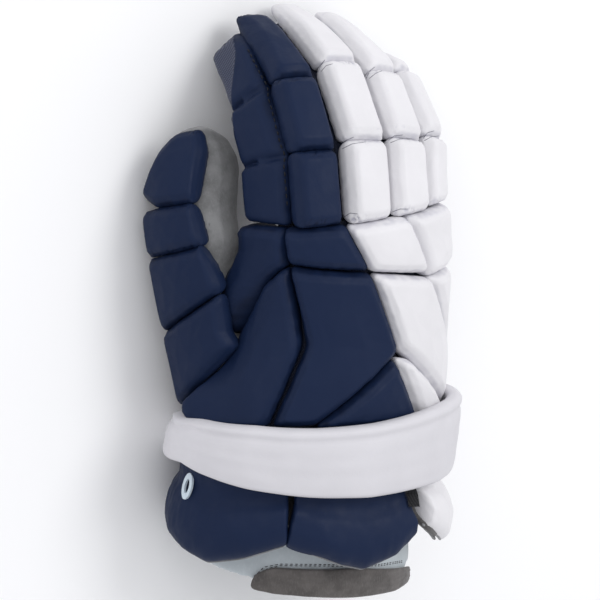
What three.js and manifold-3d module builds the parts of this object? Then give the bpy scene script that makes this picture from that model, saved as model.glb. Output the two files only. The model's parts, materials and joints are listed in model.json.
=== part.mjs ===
// A lacrosse glove for the right hand, lying palm down on the ground.
// Millimetres, +Z up, +Y from the cuff toward the fingertips, thumb on the -X side.
// The hand frame has x toward the little finger, y toward the fingertips and z out of the
// back of the hand. Its origin is in the middle of the finger bases. The whole glove is
// turned at the end, so that it rests on its fingertips and the two ends of its cuff.
import * as THREE from "three";
import { mergeVertices } from "three/addons/utils/BufferGeometryUtils.js";
import Module from "manifold-3d";

const wasm = await Module();
wasm.setup();

// Driving sizes, mm.
const glove_length = 330;
const hand_width = 100;
const pad_thick = 13.4;
const finger_wide = 23;
const finger_deep = 24;
const thumb_wide = 29;
const thumb_deep = 31;
const thumb_sink = 3;
const stall_tip = 3.2;
const thumb_tip = 1.2;
const stall_wall = 1.6;
const shell_wall = 1.8;
const liner_wall = 2.6;
const band_thick = 9.2;
const roll_rise = 22.5;
const pad_corner = 2.8;
const pad_side = 19;
const finger_corner = 2.6;
const finger_side = 16;
const pad_seat = 0.6;
const side_lift = 1.2;
const root_reach = 9;
const root_lift = 1.5;
const thumb_root = 24;
const form_seat = 1.0;
const piece_gap = 0.8;
const touch_gap = 0.35;
const front_along = 0.0152;
const wrist_along = -0.33;

// A table is a list of rows whose columns are named once.
function table(columns, rows) {
  const names = columns.split(" ");
  return rows.map((row) => Object.fromEntries(names.map((name, i) => [name, row[i]])));
}

// A curve through one column of a table, read at any value of its first column.
function reader(rows, key, names, smooth) {
  const sorted = [...rows].sort((a, b) => a[key] - b[key]);
  const values = sorted.flatMap((row) => names.map((name) => row[name]));
  const Kind = smooth ? THREE.CubicInterpolant : THREE.LinearInterpolant;
  const low = sorted[0][key];
  const high = sorted[sorted.length - 1][key];
  return (at) => {
    const curve = new Kind(sorted.map((row) => row[key]), values, names.length);
    return [...curve.evaluate(THREE.MathUtils.clamp(at, low, high))];
  };
}

// The form of the hand and wrist. Along is a share of the glove's length, the others are
// shares of the hand's width: the middle's shift and sink, and the four half sizes.
const form_rows = table("along shift sink radial ulnar back palm", [
  [0.030, 0.00, -0.06, 0.49, 0.49, 0.195, 0.15],
  [-0.085, 0.00, -0.06, 0.51, 0.50, 0.22, 0.18],
  [-0.182, -0.04, -0.10, 0.56, 0.53, 0.28, 0.22],
  [-0.273, -0.10, -0.15, 0.66, 0.61, 0.35, 0.28],
  [-0.342, -0.15, -0.20, 0.70, 0.67, 0.39, 0.32],
  [-0.455, -0.18, -0.22, 0.67, 0.66, 0.41, 0.33],
  [-0.660, -0.20, -0.24, 0.66, 0.66, 0.43, 0.34],
]);
const form_at = reader(form_rows, "along", ["shift", "sink", "radial", "ulnar", "back", "palm"], true);

// A point of the form, turned from the back of the hand toward the little finger (degrees),
// at a distance along the hand (mm) and lifted off the surface (mm).
function formPoint(turn, y, lift) {
  const [shift, sink, radial, ulnar, back, palm] = form_at(y / glove_length);
  const angle = THREE.MathUtils.degToRad(turn);
  const across = Math.sin(angle);
  const out = Math.cos(angle);
  const half_x = (across < 0 ? radial : ulnar) * hand_width + lift;
  const half_z = (out < 0 ? palm : back) * hand_width + lift;
  return new THREE.Vector3(shift * hand_width + half_x * across, y, sink * hand_width + half_z * out);
}

// A closed body through rings of points. A ring of one point is a tip.
function bodyFromRings(rings) {
  const points = rings.flat();
  const starts = [];
  let count = 0;
  for (const ring of rings) {
    starts.push(count);
    count += ring.length;
  }
  const faces = [];
  for (let r = 0; r + 1 < rings.length; r += 1) {
    const here = rings[r].length;
    const next = rings[r + 1].length;
    const n = Math.max(here, next);
    for (let i = 0; i < n; i += 1) {
      const j = (i + 1) % n;
      const a = starts[r] + (here === 1 ? 0 : i);
      const b = starts[r] + (here === 1 ? 0 : j);
      const c = starts[r + 1] + (next === 1 ? 0 : i);
      const d = starts[r + 1] + (next === 1 ? 0 : j);
      if (here === 1) {
        faces.push(a, d, c);
      } else if (next === 1) {
        faces.push(a, b, c);
      } else {
        faces.push(a, b, d, a, d, c);
      }
    }
  }
  let volume = 0;
  for (let f = 0; f < faces.length; f += 3) {
    const [a, b, c] = [points[faces[f]], points[faces[f + 1]], points[faces[f + 2]]];
    volume += a.dot(b.clone().cross(c));
  }
  if (volume < 0) {
    faces.reverse();
  }
  const geometry = new THREE.BufferGeometry().setFromPoints(points);
  geometry.setIndex(faces);
  return geometry;
}

function middleOf(points) {
  const middle = new THREE.Vector3();
  points.forEach((point) => middle.add(point));
  return middle.divideScalar(points.length);
}

// Solids for the cuts and joins.
function solid(geometry) {
  const plain = geometry.clone();
  plain.deleteAttribute("normal");
  plain.deleteAttribute("uv");
  const merged = mergeVertices(plain, 1e-4);
  return new wasm.Manifold(new wasm.Mesh({
    numProp: 3,
    vertProperties: new Float32Array(merged.attributes.position.array),
    triVerts: new Uint32Array(merged.index.array),
  }));
}

function fromSolid(body) {
  const mesh = body.getMesh();
  const geometry = new THREE.BufferGeometry();
  geometry.setAttribute("position", new THREE.BufferAttribute(new Float32Array(mesh.vertProperties), 3));
  geometry.setIndex(new THREE.BufferAttribute(new Uint32Array(mesh.triVerts), 1));
  return geometry;
}

// A flat outline: its corners are moved inward, each is rounded, and long sides are divided.
function roundedOutline(corners, inset, radius, side_length) {
  const n = corners.length;
  const flat = corners.map(([x, y]) => new THREE.Vector2(x, y));
  const moved = flat.map((corner, i) => {
    const before = flat[(i + n - 1) % n];
    const after = flat[(i + 1) % n];
    const into = corner.clone().sub(before).normalize();
    const away = after.clone().sub(corner).normalize();
    const normal_in = new THREE.Vector2(-into.y, into.x);
    const normal_out = new THREE.Vector2(-away.y, away.x);
    const sum = normal_in.clone().add(normal_out);
    const scale = (2 * inset) / Math.max(sum.lengthSq(), 0.6);
    return corner.clone().add(sum.multiplyScalar(scale));
  });
  const points = [];
  for (let i = 0; i < n; i += 1) {
    const corner = moved[i];
    const before = moved[(i + n - 1) % n];
    const after = moved[(i + 1) % n];
    const reach_in = Math.min(radius, corner.distanceTo(before) * 0.35);
    const reach_out = Math.min(radius, corner.distanceTo(after) * 0.35);
    const start = corner.clone().add(before.clone().sub(corner).setLength(reach_in));
    const end = corner.clone().add(after.clone().sub(corner).setLength(reach_out));
    const bend = new THREE.QuadraticBezierCurve(start, corner, end);
    points.push(...bend.getPoints(2));
    const steps = Math.max(1, Math.round(flat[i].distanceTo(flat[(i + 1) % n]) / side_length));
    const next_reach = Math.min(radius, corner.distanceTo(after) * 0.35);
    const next = after.clone().add(corner.clone().sub(after).setLength(next_reach));
    for (let k = 1; k < steps; k += 1) {
      points.push(end.clone().lerp(next, k / steps));
    }
  }
  return points;
}

// The section of a padded piece, from its seat to its crown: inset and height as shares.
const pad_profile = table("inset height", [
  [0.085, 0.00],
  [0.000, 0.30],
  [0.010, 0.58],
  [0.150, 0.86],
  [0.320, 0.985],
]);

// A padded piece that lies on the form of the hand.
const turn_length = 60;
function formPad(corners, thick) {
  const flat = corners.map(([turn, along]) => [
    THREE.MathUtils.degToRad(turn) * turn_length,
    along * glove_length,
  ]);
  const area = THREE.ShapeUtils.area(flat.map(([x, y]) => new THREE.Vector2(x, y)));
  if (area < 0) {
    flat.reverse();
  }
  const place = (point, lift) => formPoint(THREE.MathUtils.radToDeg(point.x / turn_length), point.y, lift);
  const ring = (inset) => roundedOutline(flat, inset + piece_gap / 2, pad_corner, pad_side);
  const edge = ring(0);
  const centre = edge.reduce((sum, point) => sum.add(point), new THREE.Vector2()).divideScalar(edge.length);
  const half = (points, share) => points.map((point) => centre.clone().lerp(point, share));
  const seat = form_seat;
  const low = ring(pad_profile[0].inset * thick);
  const high = ring(pad_profile[pad_profile.length - 1].inset * thick);
  const rings = [[place(centre, seat)], half(low, 0.52).map((point) => place(point, seat))];
  for (const step of pad_profile) {
    rings.push(ring(step.inset * thick).map((point) => place(point, seat + step.height * thick)));
  }
  rings.push(half(high, 0.52).map((point) => place(point, seat + thick)));
  rings.push([place(centre, seat + thick)]);
  return bodyFromRings(rings);
}

// A piece that runs round the form, between two edges read from a table of turns.
function wrapPiece({ edges, from, to, steps, profile, seat = 0, shrink = 1 }) {
  const read = reader(edges, "turn", ["front", "rear"], false);
  const rings = [];
  for (let i = 0; i <= steps; i += 1) {
    const turn = THREE.MathUtils.lerp(from, to, i / steps);
    const [front, rear] = read(turn);
    const ends = i === 0 || i === steps ? shrink : 1;
    const middle_lift = profile.reduce((sum, point) => sum + point.lift, 0) / profile.length;
    rings.push(profile.map((point) => {
      const across = 0.5 + (point.across - 0.5) * ends;
      const lift = seat + middle_lift + (point.lift - middle_lift) * ends;
      return formPoint(turn, THREE.MathUtils.lerp(front, rear, across) * glove_length, lift);
    }));
  }
  rings.unshift([middleOf(rings[0])]);
  rings.push([middleOf(rings[rings.length - 1])]);
  return bodyFromRings(rings);
}

// Colours of the materials.
const looks = {
  navy: { color: 0x212b4d, roughness: 0.62 },
  white: { color: 0xe2e3e9, roughness: 0.58 },
  band: { color: 0xcfd0d7, roughness: 0.66 },
  suede: { color: 0x636466, roughness: 0.95 },
  mesh: { color: 0x3c425f, roughness: 0.9 },
  liner: { color: 0xbcc5c8, roughness: 0.92 },
  tab: { color: 0x5c5857, roughness: 0.95 },
  elastic: { color: 0x17181c, roughness: 0.85 },
  ring: { color: 0xcddde6, roughness: 0.5 },
};
const hand = new THREE.Group();

function addMesh(name, look, geometry, parent = hand) {
  const material = new THREE.MeshStandardMaterial({ ...looks[look], metalness: 0 });
  const mesh = new THREE.Mesh(geometry, material);
  mesh.name = name;
  parent.add(mesh);
  return mesh;
}

// Fingers and thumb. Base, widths and top are shares of the hand's width, lengths are shares
// of the glove's length, and turns and bends are degrees.
const digit_rows = table("name across along out yaw dive tilt bends lengths skin", [
  ["index", -0.358, 0.0076, -0.029, -3.9, 12.9, -8.8, [20.8, 23.1], [0.107, 0.107, 0.158], 0.96],
  ["middle", -0.093, 0.012, 0.016, -7.1, 15.3, 0.7, [21.7, 25.5], [0.109, 0.1205, 0.170], 1.0],
  ["ring", 0.168, 0.0015, 0.010, -10.0, 19.0, 10.3, [18.6, 21.9], [0.1127, 0.106, 0.161], 0.94],
  ["pinky", 0.382, -0.014, -0.077, -13.3, 19.2, 23.3, [22.1, 38.7], [0.121, 0.098, 0.088], 0.84],
  ["thumb", -0.70, -0.231, -0.30, 5.8, 11.9, -69, [1.7, 7.0, 18.7], [0.110, 0.090, 0.063, 0.127], 1.0],
]);
const segment_names = {
  3: ["proximal", "middle", "distal"],
  4: ["base", "proximal", "middle", "distal"],
};

function buildDigit(row) {
  const frames = [];
  const base = new THREE.Group();
  base.position.set(row.across * hand_width, row.along * glove_length, row.out * hand_width);
  base.rotation.set(
    THREE.MathUtils.degToRad(-row.dive),
    THREE.MathUtils.degToRad(row.tilt),
    THREE.MathUtils.degToRad(row.yaw),
    "ZXY",
  );
  hand.add(base);
  frames.push(base);
  row.bends.forEach((bend, i) => {
    const joint = new THREE.Group();
    joint.position.set(0, row.lengths[i] * glove_length, 0);
    joint.rotation.x = THREE.MathUtils.degToRad(-bend);
    frames[i].add(joint);
    frames.push(joint);
  });
  hand.updateMatrixWorld(true);
  return frames;
}

// Where a line along a segment, at the place (x, z) of its section, meets its two ends.
function endsOf(row, frames, index) {
  const length = row.lengths[index] * glove_length;
  const lean = (bend) => Math.tan(THREE.MathUtils.degToRad(bend / 2));
  const matrix = frames[index].matrixWorld;
  const plane = (x, z) => {
    const start = new THREE.Vector3(x, 0, z).applyMatrix4(matrix);
    const step = new THREE.Vector3(0, 1, 0).transformDirection(matrix);
    return (front_along * glove_length + touch_gap - start.y) / step.y;
  };
  const flat = row.name !== "thumb";
  const rear = index > 0
    ? (x, z) => -z * lean(row.bends[index - 1])
    : (x, z) => (flat ? plane(x, z) : 0);
  const front = index < row.bends.length
    ? (x, z) => length + z * lean(row.bends[index])
    : () => length;
  return { rear, front, length };
}

const stall_turns = 14;
function sectionRing(half_x, half_z, sink) {
  const points = [];
  for (let i = 0; i < stall_turns; i += 1) {
    const angle = ((i + 0.5) / stall_turns) * Math.PI * 2;
    const shape = (value) => Math.sign(value) * Math.abs(value) ** 0.78;
    points.push([half_x * shape(Math.sin(angle)), half_z * shape(Math.cos(angle)) - sink]);
  }
  return points;
}

function skinDepth(row) {
  return row.name === "thumb" ? thumb_deep : finger_deep * (0.4 + 0.6 * row.skin);
}

// The rings of a finger's skin, from its root to its tip, with its wall taken off the inside.
function stallRings(row, frames, wall) {
  const thumb = row.name === "thumb";
  const half_x = ((thumb ? thumb_wide : finger_wide) * row.skin) / 2 - wall;
  const half_z = skinDepth(row) / 2 - wall;
  const sink = thumb ? thumb_sink : 0;
  const rings = [];
  const ringAt = (index, where, scale) => {
    const { rear, front } = endsOf(row, frames, index);
    return sectionRing(half_x * scale, half_z * scale, sink).map(([x, z]) => {
      const y = where(rear(x, z), front(x, z));
      return new THREE.Vector3(x, y, z).applyMatrix4(frames[index].matrixWorld);
    });
  };
  if (thumb) {
    rings.push(ringAt(0, () => wall - thumb_root, 0.62));
  }
  frames.forEach((frame, index) => {
    rings.push(ringAt(index, (rear) => rear, 1));
    if (index === frames.length - 1) {
      const tip = (thumb ? thumb_tip : stall_tip) + wall;
      rings.push(ringAt(index, (rear, front) => front - tip - 0.42 * finger_wide, 1));
      rings.push(ringAt(index, (rear, front) => front - tip - 0.14 * finger_wide, 0.8));
      rings.push(ringAt(index, (rear, front) => front - tip, 0.42));
    }
  });
  return rings;
}

// A padded piece on a finger's back, or on its side when it is turned. Its wrap is how fast it
// falls away to both sides, and a domed piece has one more ring for that.
const finger_wrap = 0.138;
const side_wrap = 0.092;
const thumb_wrap = 0.377;
function digitPad(row, frames, index, { corners, low, thick, wrap, domed, drop = 0, shift = 0, turn = 0 }) {
  const { rear, front, length } = endsOf(row, frames, index);
  const angle = THREE.MathUtils.degToRad(turn);
  const place = (point, height) => {
    const thinner = 1 - drop * Math.max(0, point.y / length - 0.35) ** 2;
    const z = low + height * thinner - wrap * (point.x - shift) ** 2;
    const x_here = point.x * Math.cos(angle) + z * Math.sin(angle);
    const z_here = z * Math.cos(angle) - point.x * Math.sin(angle);
    const share = point.y / length;
    const start = rear(x_here, z_here);
    const y = start + share * (front(x_here, z_here) - start);
    return new THREE.Vector3(x_here, y, z_here);
  };
  const ring = (inset) => roundedOutline(corners, inset + piece_gap / 2, finger_corner, finger_side);
  const centre = corners.reduce((sum, [x, y]) => sum.add(new THREE.Vector2(x, y)), new THREE.Vector2())
    .divideScalar(corners.length);
  const half_ring = (points) => points.map((point) => centre.clone().lerp(point, 0.5));
  const rings = [[place(centre, 0)]];
  const low_ring = ring(pad_profile[0].inset * thick);
  if (domed) {
    rings.push(half_ring(low_ring).map((point) => place(point, 0)));
  }
  for (const step of pad_profile) {
    rings.push(ring(step.inset * thick).map((point) => place(point, step.height * thick)));
  }
  if (domed) {
    rings.push(half_ring(ring(pad_profile[pad_profile.length - 1].inset * thick)).map((point) => place(point, thick)));
  }
  rings.push([place(centre, thick)]);
  return bodyFromRings(rings);
}

// Four corners of a pad that runs along a segment and may narrow toward its front.
function padCorners(row, index, { wide, taper = 1, from = 0, to = 1, shift = 0 }) {
  const length = row.lengths[index] * glove_length;
  const half = (wide * hand_width) / 2;
  return [
    [shift - half, from * length],
    [shift + half, from * length],
    [shift + half * taper, to * length],
    [shift - half * taper, to * length],
  ];
}

const digits = {};
for (const row of digit_rows) {
  digits[row.name] = { row, frames: buildDigit(row) };
}

// The skins of the fingers: open at the root, closed at the tip.
const hollows = {};
const skins = {};
for (const { row, frames } of Object.values(digits)) {
  const outer = stallRings(row, frames, 0);
  const inner = stallRings(row, frames, stall_wall);
  const outer_tip = [middleOf(outer[outer.length - 1])];
  const inner_tip = [middleOf(inner[inner.length - 1])];
  if (row.name === "thumb") {
    hollows[row.name] = bodyFromRings([[middleOf(inner[0])], ...inner, inner_tip]);
    skins[row.name] = bodyFromRings([[middleOf(outer[0])], ...outer, outer_tip]);
  } else {
    // The hollow runs on through the front wall of the hand's shell.
    const back = inner[0].map((point) => point.clone().add(new THREE.Vector3(0, -root_reach, root_lift)));
    hollows[row.name] = bodyFromRings([[middleOf(back)], back, ...inner, inner_tip]);
    skins[row.name] = bodyFromRings([inner_tip, ...inner.slice().reverse(), ...outer, outer_tip]);
  }
}

// The shell of the hand: a closed front with a hole for each finger, open at the wrist.
const form_turns = 24;
function formRing(y, lift) {
  const points = [];
  for (let i = 0; i < form_turns; i += 1) {
    points.push(formPoint((i / form_turns) * 360 - 180, y, lift));
  }
  return points;
}
function formBody(stations, lift) {
  const rings = stations.map((along) => formRing(along * glove_length, lift));
  return bodyFromRings([[middleOf(rings[0])], ...rings, [middleOf(rings[rings.length - 1])]]);
}
const shell_stations = [-0.05, -0.11, -0.17, -0.225, -0.28, wrist_along];
const shell_full = solid(formBody([front_along, ...shell_stations], 0));
const shell_room = solid(formBody([
  front_along - shell_wall / glove_length,
  ...shell_stations,
  wrist_along - 0.02,
], -shell_wall));
const thumb_grown = solid(bodyFromRings(growRings(stallRings(digits.thumb.row, digits.thumb.frames, -touch_gap))));

function growRings(rings) {
  return [[middleOf(rings[0])], ...rings, [middleOf(rings[rings.length - 1])]];
}

let shell = shell_full.subtract(shell_room);
for (const hollow of Object.values(hollows)) {
  shell = shell.subtract(solid(hollow));
}
addMesh("palm_shell", "mesh", fromSolid(shell));

for (const [name, skin] of Object.entries(skins)) {
  if (name !== "thumb") {
    addMesh(name + "_stall", "mesh", skin);
  }
}
const shell_grown = solid(formBody([front_along + 0.0012, ...shell_stations, wrist_along - 0.02], touch_gap));
const thumb_skin = solid(skins.thumb).subtract(solid(hollows.thumb)).subtract(shell_grown);
addMesh("thumb_stall", "suede", fromSolid(thumb_skin));

// Pads on the backs of the fingers.
const finger_pads = table("digit segment look wide taper drop", [
  ["index", 0, "navy", 0.275, 1.0, 0],
  ["index", 1, "navy", 0.272, 0.96, 0],
  ["index", 2, "navy", 0.255, 0.62, 1.1],
  ["middle", 0, "white", 0.280, 1.0, 0],
  ["middle", 1, "white", 0.275, 0.95, 0],
  ["middle", 2, "white", 0.260, 0.62, 1.1],
  ["ring", 0, "white", 0.268, 1.0, 0],
  ["ring", 1, "white", 0.262, 0.92, 0],
  ["ring", 2, "white", 0.240, 0.62, 1.1],
  ["pinky", 0, "white", 0.205, 1.0, 0],
  ["pinky", 1, "white", 0.205, 0.95, 0],
  ["pinky", 2, "white", 0.195, 0.70, 1.1],
]);
for (const pad of finger_pads) {
  const { row, frames } = digits[pad.digit];
  const geometry = digitPad(row, frames, pad.segment, {
    corners: padCorners(row, pad.segment, pad),
    low: skinDepth(row) / 2 + pad_seat,
    thick: pad_thick,
    wrap: finger_wrap / finger_wide,
    drop: pad.drop,
  });
  const name = [pad.digit, segment_names[3][pad.segment], "pad"].join("_");
  addMesh(name, pad.look, geometry, frames[pad.segment]);
}

// Three puffed rolls on the outer side of the first finger.
const side_pads = table("segment wide shift from to", [
  [0, 0.27, -0.105, 0, 1],
  [1, 0.26, -0.100, 0, 1],
  [2, 0.24, -0.085, 0, 0.84],
]);
for (const [i, pad] of side_pads.entries()) {
  const { row, frames } = digits.index;
  addMesh("index_side_pad_" + (i + 1), "navy", digitPad(row, frames, pad.segment, {
    corners: padCorners(row, pad.segment, {
      wide: pad.wide,
      from: pad.from,
      to: pad.to,
      taper: i === 2 ? 0.6 : 1,
      shift: pad.shift * hand_width,
    }),
    low: finger_wide / 2 + pad_seat + side_lift,
    thick: pad_thick * 0.8,
    wrap: side_wrap / finger_wide,
    shift: pad.shift * hand_width,
    turn: -62,
    drop: i === 2 ? 0.9 : 0,
  }), frames[pad.segment]);
}

// Four wide pads down the outer side of the thumb.
const thumb_pads = table("segment corners drop", [
  [0, [[-0.25, -0.0545], [-0.09, -0.027], [0.22, 0.039], [0.22, 0.127], [-0.25, 0.073]], 0],
  [1, [[-0.25, -0.035], [0.22, 0.020], [0.22, 0.094], [-0.25, 0.085]], 0],
  [2, [[-0.25, -0.003], [0.195, 0.0025], [0.185, 0.063], [-0.24, 0.063]], 0],
  [3, [[-0.24, 0.024], [-0.10, 0], [0.185, 0], [0.205, 0.085], [0.16, 0.121], [0.02, 0.117]], 0.9],
]);
for (const pad of thumb_pads) {
  const { row, frames } = digits.thumb;
  const geometry = digitPad(row, frames, pad.segment, {
    corners: pad.corners.map(([across, along]) => [across * hand_width, along * glove_length]),
    low: thumb_deep / 2 - thumb_sink + pad_seat,
    thick: pad_thick * 0.95,
    wrap: thumb_wrap / thumb_wide,
    domed: true,
    drop: pad.drop,
  });
  const name = ["thumb", segment_names[4][pad.segment], "pad"].join("_");
  const mesh = addMesh(name, "navy", geometry, frames[pad.segment]);
  if (pad.segment < 2) {
    hand.updateMatrixWorld(true);
    const placed = solid(geometry.clone().applyMatrix4(mesh.matrixWorld)).subtract(shell_grown);
    mesh.geometry = fromSolid(placed).applyMatrix4(mesh.matrixWorld.clone().invert());
  }
}

// Pads of the knuckle row and of the back of the hand: corners as turn and along.
const back_pads = {
  knuckle_index: ["navy", [[-68, 0.014], [-25, 0.0145], [-11, -0.064], [-64, -0.045]]],
  knuckle_middle: ["white", [[-25, 0.0145], [15, 0.0145], [31, -0.087], [-11, -0.066]]],
  knuckle_outer: ["white", [[15.7, 0.0145], [92, 0.010], [96, -0.088], [31.7, -0.094]]],
  index_base: ["navy", [[-116, 0.012], [-68, 0.014], [-66, -0.045], [-84, -0.075], [-101, -0.165], [-122, -0.180]]],
  back_main: ["navy", [[-64, -0.048], [-11, -0.069], [9, -0.203], [-28, -0.309], [-48, -0.306], [-44, -0.176]]],
  back_radial: ["navy", [[-66, -0.048], [-47, -0.176], [-50, -0.309], [-96, -0.318], [-100, -0.170], [-84, -0.078]]],
  back_low: ["navy", [[7, -0.215], [29, -0.338], [-28, -0.312]]],
  white_upper: ["white", [[-10, -0.070], [31, -0.094], [63, -0.221], [61, -0.340], [18, -0.221], [10, -0.203]]],
  white_outer: ["white", [[33, -0.096], [78, -0.094], [84, -0.200], [87, -0.336], [63, -0.342], [64, -0.221]]],
  white_side: ["white", [[79, -0.094], [108, -0.090], [121, -0.200], [124, -0.325], [88, -0.335], [85, -0.200]]],
  white_low: ["white", [[8, -0.215], [18, -0.224], [61, -0.344], [30, -0.342]]],
};
const thumb_clear = solidsOf(["thumb_base_pad", "thumb_proximal_pad", "thumb_middle_pad"]);

function solidsOf(names) {
  hand.updateMatrixWorld(true);
  return names.map((name) => {
    const mesh = hand.getObjectByName(name);
    const grown = mesh.geometry.clone();
    grown.computeBoundingBox();
    const middle = grown.boundingBox.getCenter(new THREE.Vector3());
    const size = grown.boundingBox.getSize(new THREE.Vector3());
    grown.translate(-middle.x, -middle.y, -middle.z);
    grown.scale(...["x", "y", "z"].map((axis) => 1 + (2 * touch_gap) / size[axis]));
    grown.translate(middle.x, middle.y, middle.z);
    return solid(grown.applyMatrix4(mesh.matrixWorld));
  });
}
for (const [name, [look, corners]] of Object.entries(back_pads)) {
  let body = solid(formPad(corners, pad_thick));
  if (name === "index_base" || name === "back_radial") {
    body = body.subtract(thumb_grown);
    for (const cut of thumb_clear) {
      body = body.subtract(cut);
    }
  }
  addMesh(name, look, fromSolid(body));
}

// The cuff: a lined sleeve, a band that is open at the palm, and puffed rolls under it.
const liner_end = reader(table("turn along", [
  [-180, -0.570], [-120, -0.555], [-55, -0.573], [-20, -0.597], [20, -0.613], [45, -0.615], [90, -0.595], [180, -0.570],
]), "turn", ["along"], true);
function linerRing(share, lift) {
  const points = [];
  for (let i = 0; i < form_turns; i += 1) {
    const turn = (i / form_turns) * 360 - 180;
    const start = wrist_along - touch_gap / glove_length;
    const along = THREE.MathUtils.lerp(start, liner_end(turn)[0], share);
    points.push(formPoint(turn, along * glove_length, lift));
  }
  return points;
}
const liner_shares = [0, 0.33, 0.66, 1];
const liner_outer = liner_shares.map((share) => linerRing(share, 0));
const liner_inner = liner_shares.map((share) => linerRing(share, -liner_wall)).reverse();
addMesh("cuff_liner", "liner", closedLoop([...liner_outer, ...liner_inner]));

// A body whose rings close on themselves, such as a sleeve.
function closedLoop(rings) {
  const n = rings[0].length;
  const points = rings.flat();
  const faces = [];
  rings.forEach((ring, r) => {
    const next = (r + 1) % rings.length;
    for (let i = 0; i < n; i += 1) {
      const j = (i + 1) % n;
      faces.push(r * n + i, r * n + j, next * n + j, r * n + i, next * n + j, next * n + i);
    }
  });
  let volume = 0;
  for (let f = 0; f < faces.length; f += 3) {
    volume += points[faces[f]].dot(points[faces[f + 1]].clone().cross(points[faces[f + 2]]));
  }
  if (volume < 0) {
    faces.reverse();
  }
  const geometry = new THREE.BufferGeometry().setFromPoints(points);
  geometry.setIndex(faces);
  return geometry;
}

const band_low = form_seat + pad_thick + pad_seat;
const band_edges = table("turn front rear", [
  [-140, -0.316, -0.375], [-118, -0.298, -0.368], [-86, -0.290, -0.362], [-55, -0.291, -0.391],
  [-28, -0.300, -0.412], [-4, -0.305, -0.427], [19, -0.305, -0.434], [37, -0.306, -0.441],
  [58, -0.311, -0.443], [100, -0.318, -0.440], [140, -0.330, -0.430],
]);
addMesh("wrist_band", "band", wrapPiece({
  edges: band_edges,
  from: -140,
  to: 140,
  steps: 24,
  shrink: 0.82,
  profile: table("across lift", [
    [0.02, band_low], [0.50, band_low], [0.98, band_low], [1.0, band_low + 0.45 * band_thick],
    [0.95, band_low + 0.93 * band_thick], [0.5, band_low + band_thick], [0.05, band_low + 0.93 * band_thick],
    [0.0, band_low + 0.45 * band_thick],
  ]),
}));

const roll_seat = 2.6;
const roll_curl = 3.5;
const flap_seat = 5.0;
const flap_curl = 6.0;
const band_gap = 0.9;
const band_slope = 0.5;
const roll_profile = table("across lift", [
  [0.00, roll_seat], [0.45, roll_seat + 0.08 * roll_curl], [0.80, roll_seat + roll_curl],
  [0.98, 0.50 * roll_rise], [1.00, 0.74 * roll_rise], [0.90, 0.95 * roll_rise], [0.74, roll_rise],
  [0.56, 0.86 * roll_rise], [0.40, band_low - band_gap], [0.02, band_low - band_gap - band_slope],
]);
addMesh("roll_radial", "navy", wrapPiece({
  edges: table("turn front rear", [
    [-140, -0.345, -0.490], [-114, -0.340, -0.506], [-86, -0.338, -0.524], [-74, -0.345, -0.533],
    [-55, -0.358, -0.520], [-37, -0.372, -0.498],
  ]),
  from: -140, to: -36.5, steps: 12, shrink: 0.8, profile: roll_profile,
}));
addMesh("roll_middle", "navy", wrapPiece({
  edges: table("turn front rear", [
    [-34, -0.374, -0.498], [-27, -0.378, -0.515], [-15, -0.384, -0.540], [-4, -0.390, -0.557],
    [11, -0.394, -0.549], [24, -0.398, -0.520],
  ]),
  from: -33, to: 23.5, steps: 8, shrink: 0.8, profile: roll_profile,
}));
addMesh("ulnar_flap", "white", wrapPiece({
  edges: table("turn front rear", [
    [26, -0.402, -0.505], [38, -0.405, -0.535], [52, -0.408, -0.566], [58, -0.408, -0.562],
    [100, -0.400, -0.545], [140, -0.385, -0.500],
  ]),
  from: 27, to: 140, steps: 13, shrink: 0.8,
  profile: table("across lift", [
    [0.00, flap_seat], [0.45, flap_seat + 0.1 * flap_curl], [0.82, flap_seat + flap_curl],
    [0.99, 0.76 * roll_rise], [1.0, 0.88 * roll_rise], [0.90, 1.08 * roll_rise],
    [0.72, 1.08 * roll_rise], [0.54, 0.88 * roll_rise], [0.38, band_low - band_gap],
    [0.02, band_low - band_gap - band_slope],
  ]),
}));
const lining_seat = 2.7;
const lining_wall = 1.6;
const lining_curl = 11.9;
addMesh("flap_lining", "suede", wrapPiece({
  seat: lining_seat,
  edges: table("turn front rear", [
    [24, -0.404, -0.503], [38, -0.407, -0.536], [52, -0.410, -0.570], [58, -0.410, -0.567],
    [100, -0.402, -0.550], [140, -0.390, -0.500],
  ]),
  from: 25, to: 136, steps: 12, shrink: 0.9,
  profile: table("across lift", [
    [0.0, 0], [0.45, 0.04 * lining_curl], [0.80, 0.445 * lining_curl], [1.0, lining_curl],
    [1.0, lining_wall + lining_curl], [0.82, lining_wall + 0.49 * lining_curl],
    [0.45, lining_wall + 0.05 * lining_curl], [0.0, lining_wall],
  ]),
}));

// Elastic straps that hold the rolls, and the suede strip at the end of the liner.
const strip_seat = 0.5;
const strip_thick = 1.7;
const strip_profile = table("across lift", [[0, 0], [1, 0], [1, strip_thick], [0, strip_thick]]);
for (const [name, low, high, front, rear] of [
  ["strap_radial", -47, -24, -0.383, -0.480],
  ["strap_ulnar", 13, 38, -0.410, -0.490],
]) {
  addMesh(name, "elastic", wrapPiece({
    edges: table("turn front rear", [[low, front, rear], [high, front, rear]]),
    from: low, to: high, steps: 3, seat: strip_seat, profile: strip_profile,
  }));
}
addMesh("suede_tab", "tab", wrapPiece({
  edges: table("turn front rear", [
    [-55, -0.563, -0.587], [-34, -0.560, -0.599], [0, -0.580, -0.622], [30, -0.597, -0.635], [50, -0.606, -0.624],
  ]),
  from: -55, to: 50, steps: 9, seat: strip_seat, shrink: 0.9, profile: strip_profile,
}));
const patch_thick = 1.6;
const patch_dome = 0.2;
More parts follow.
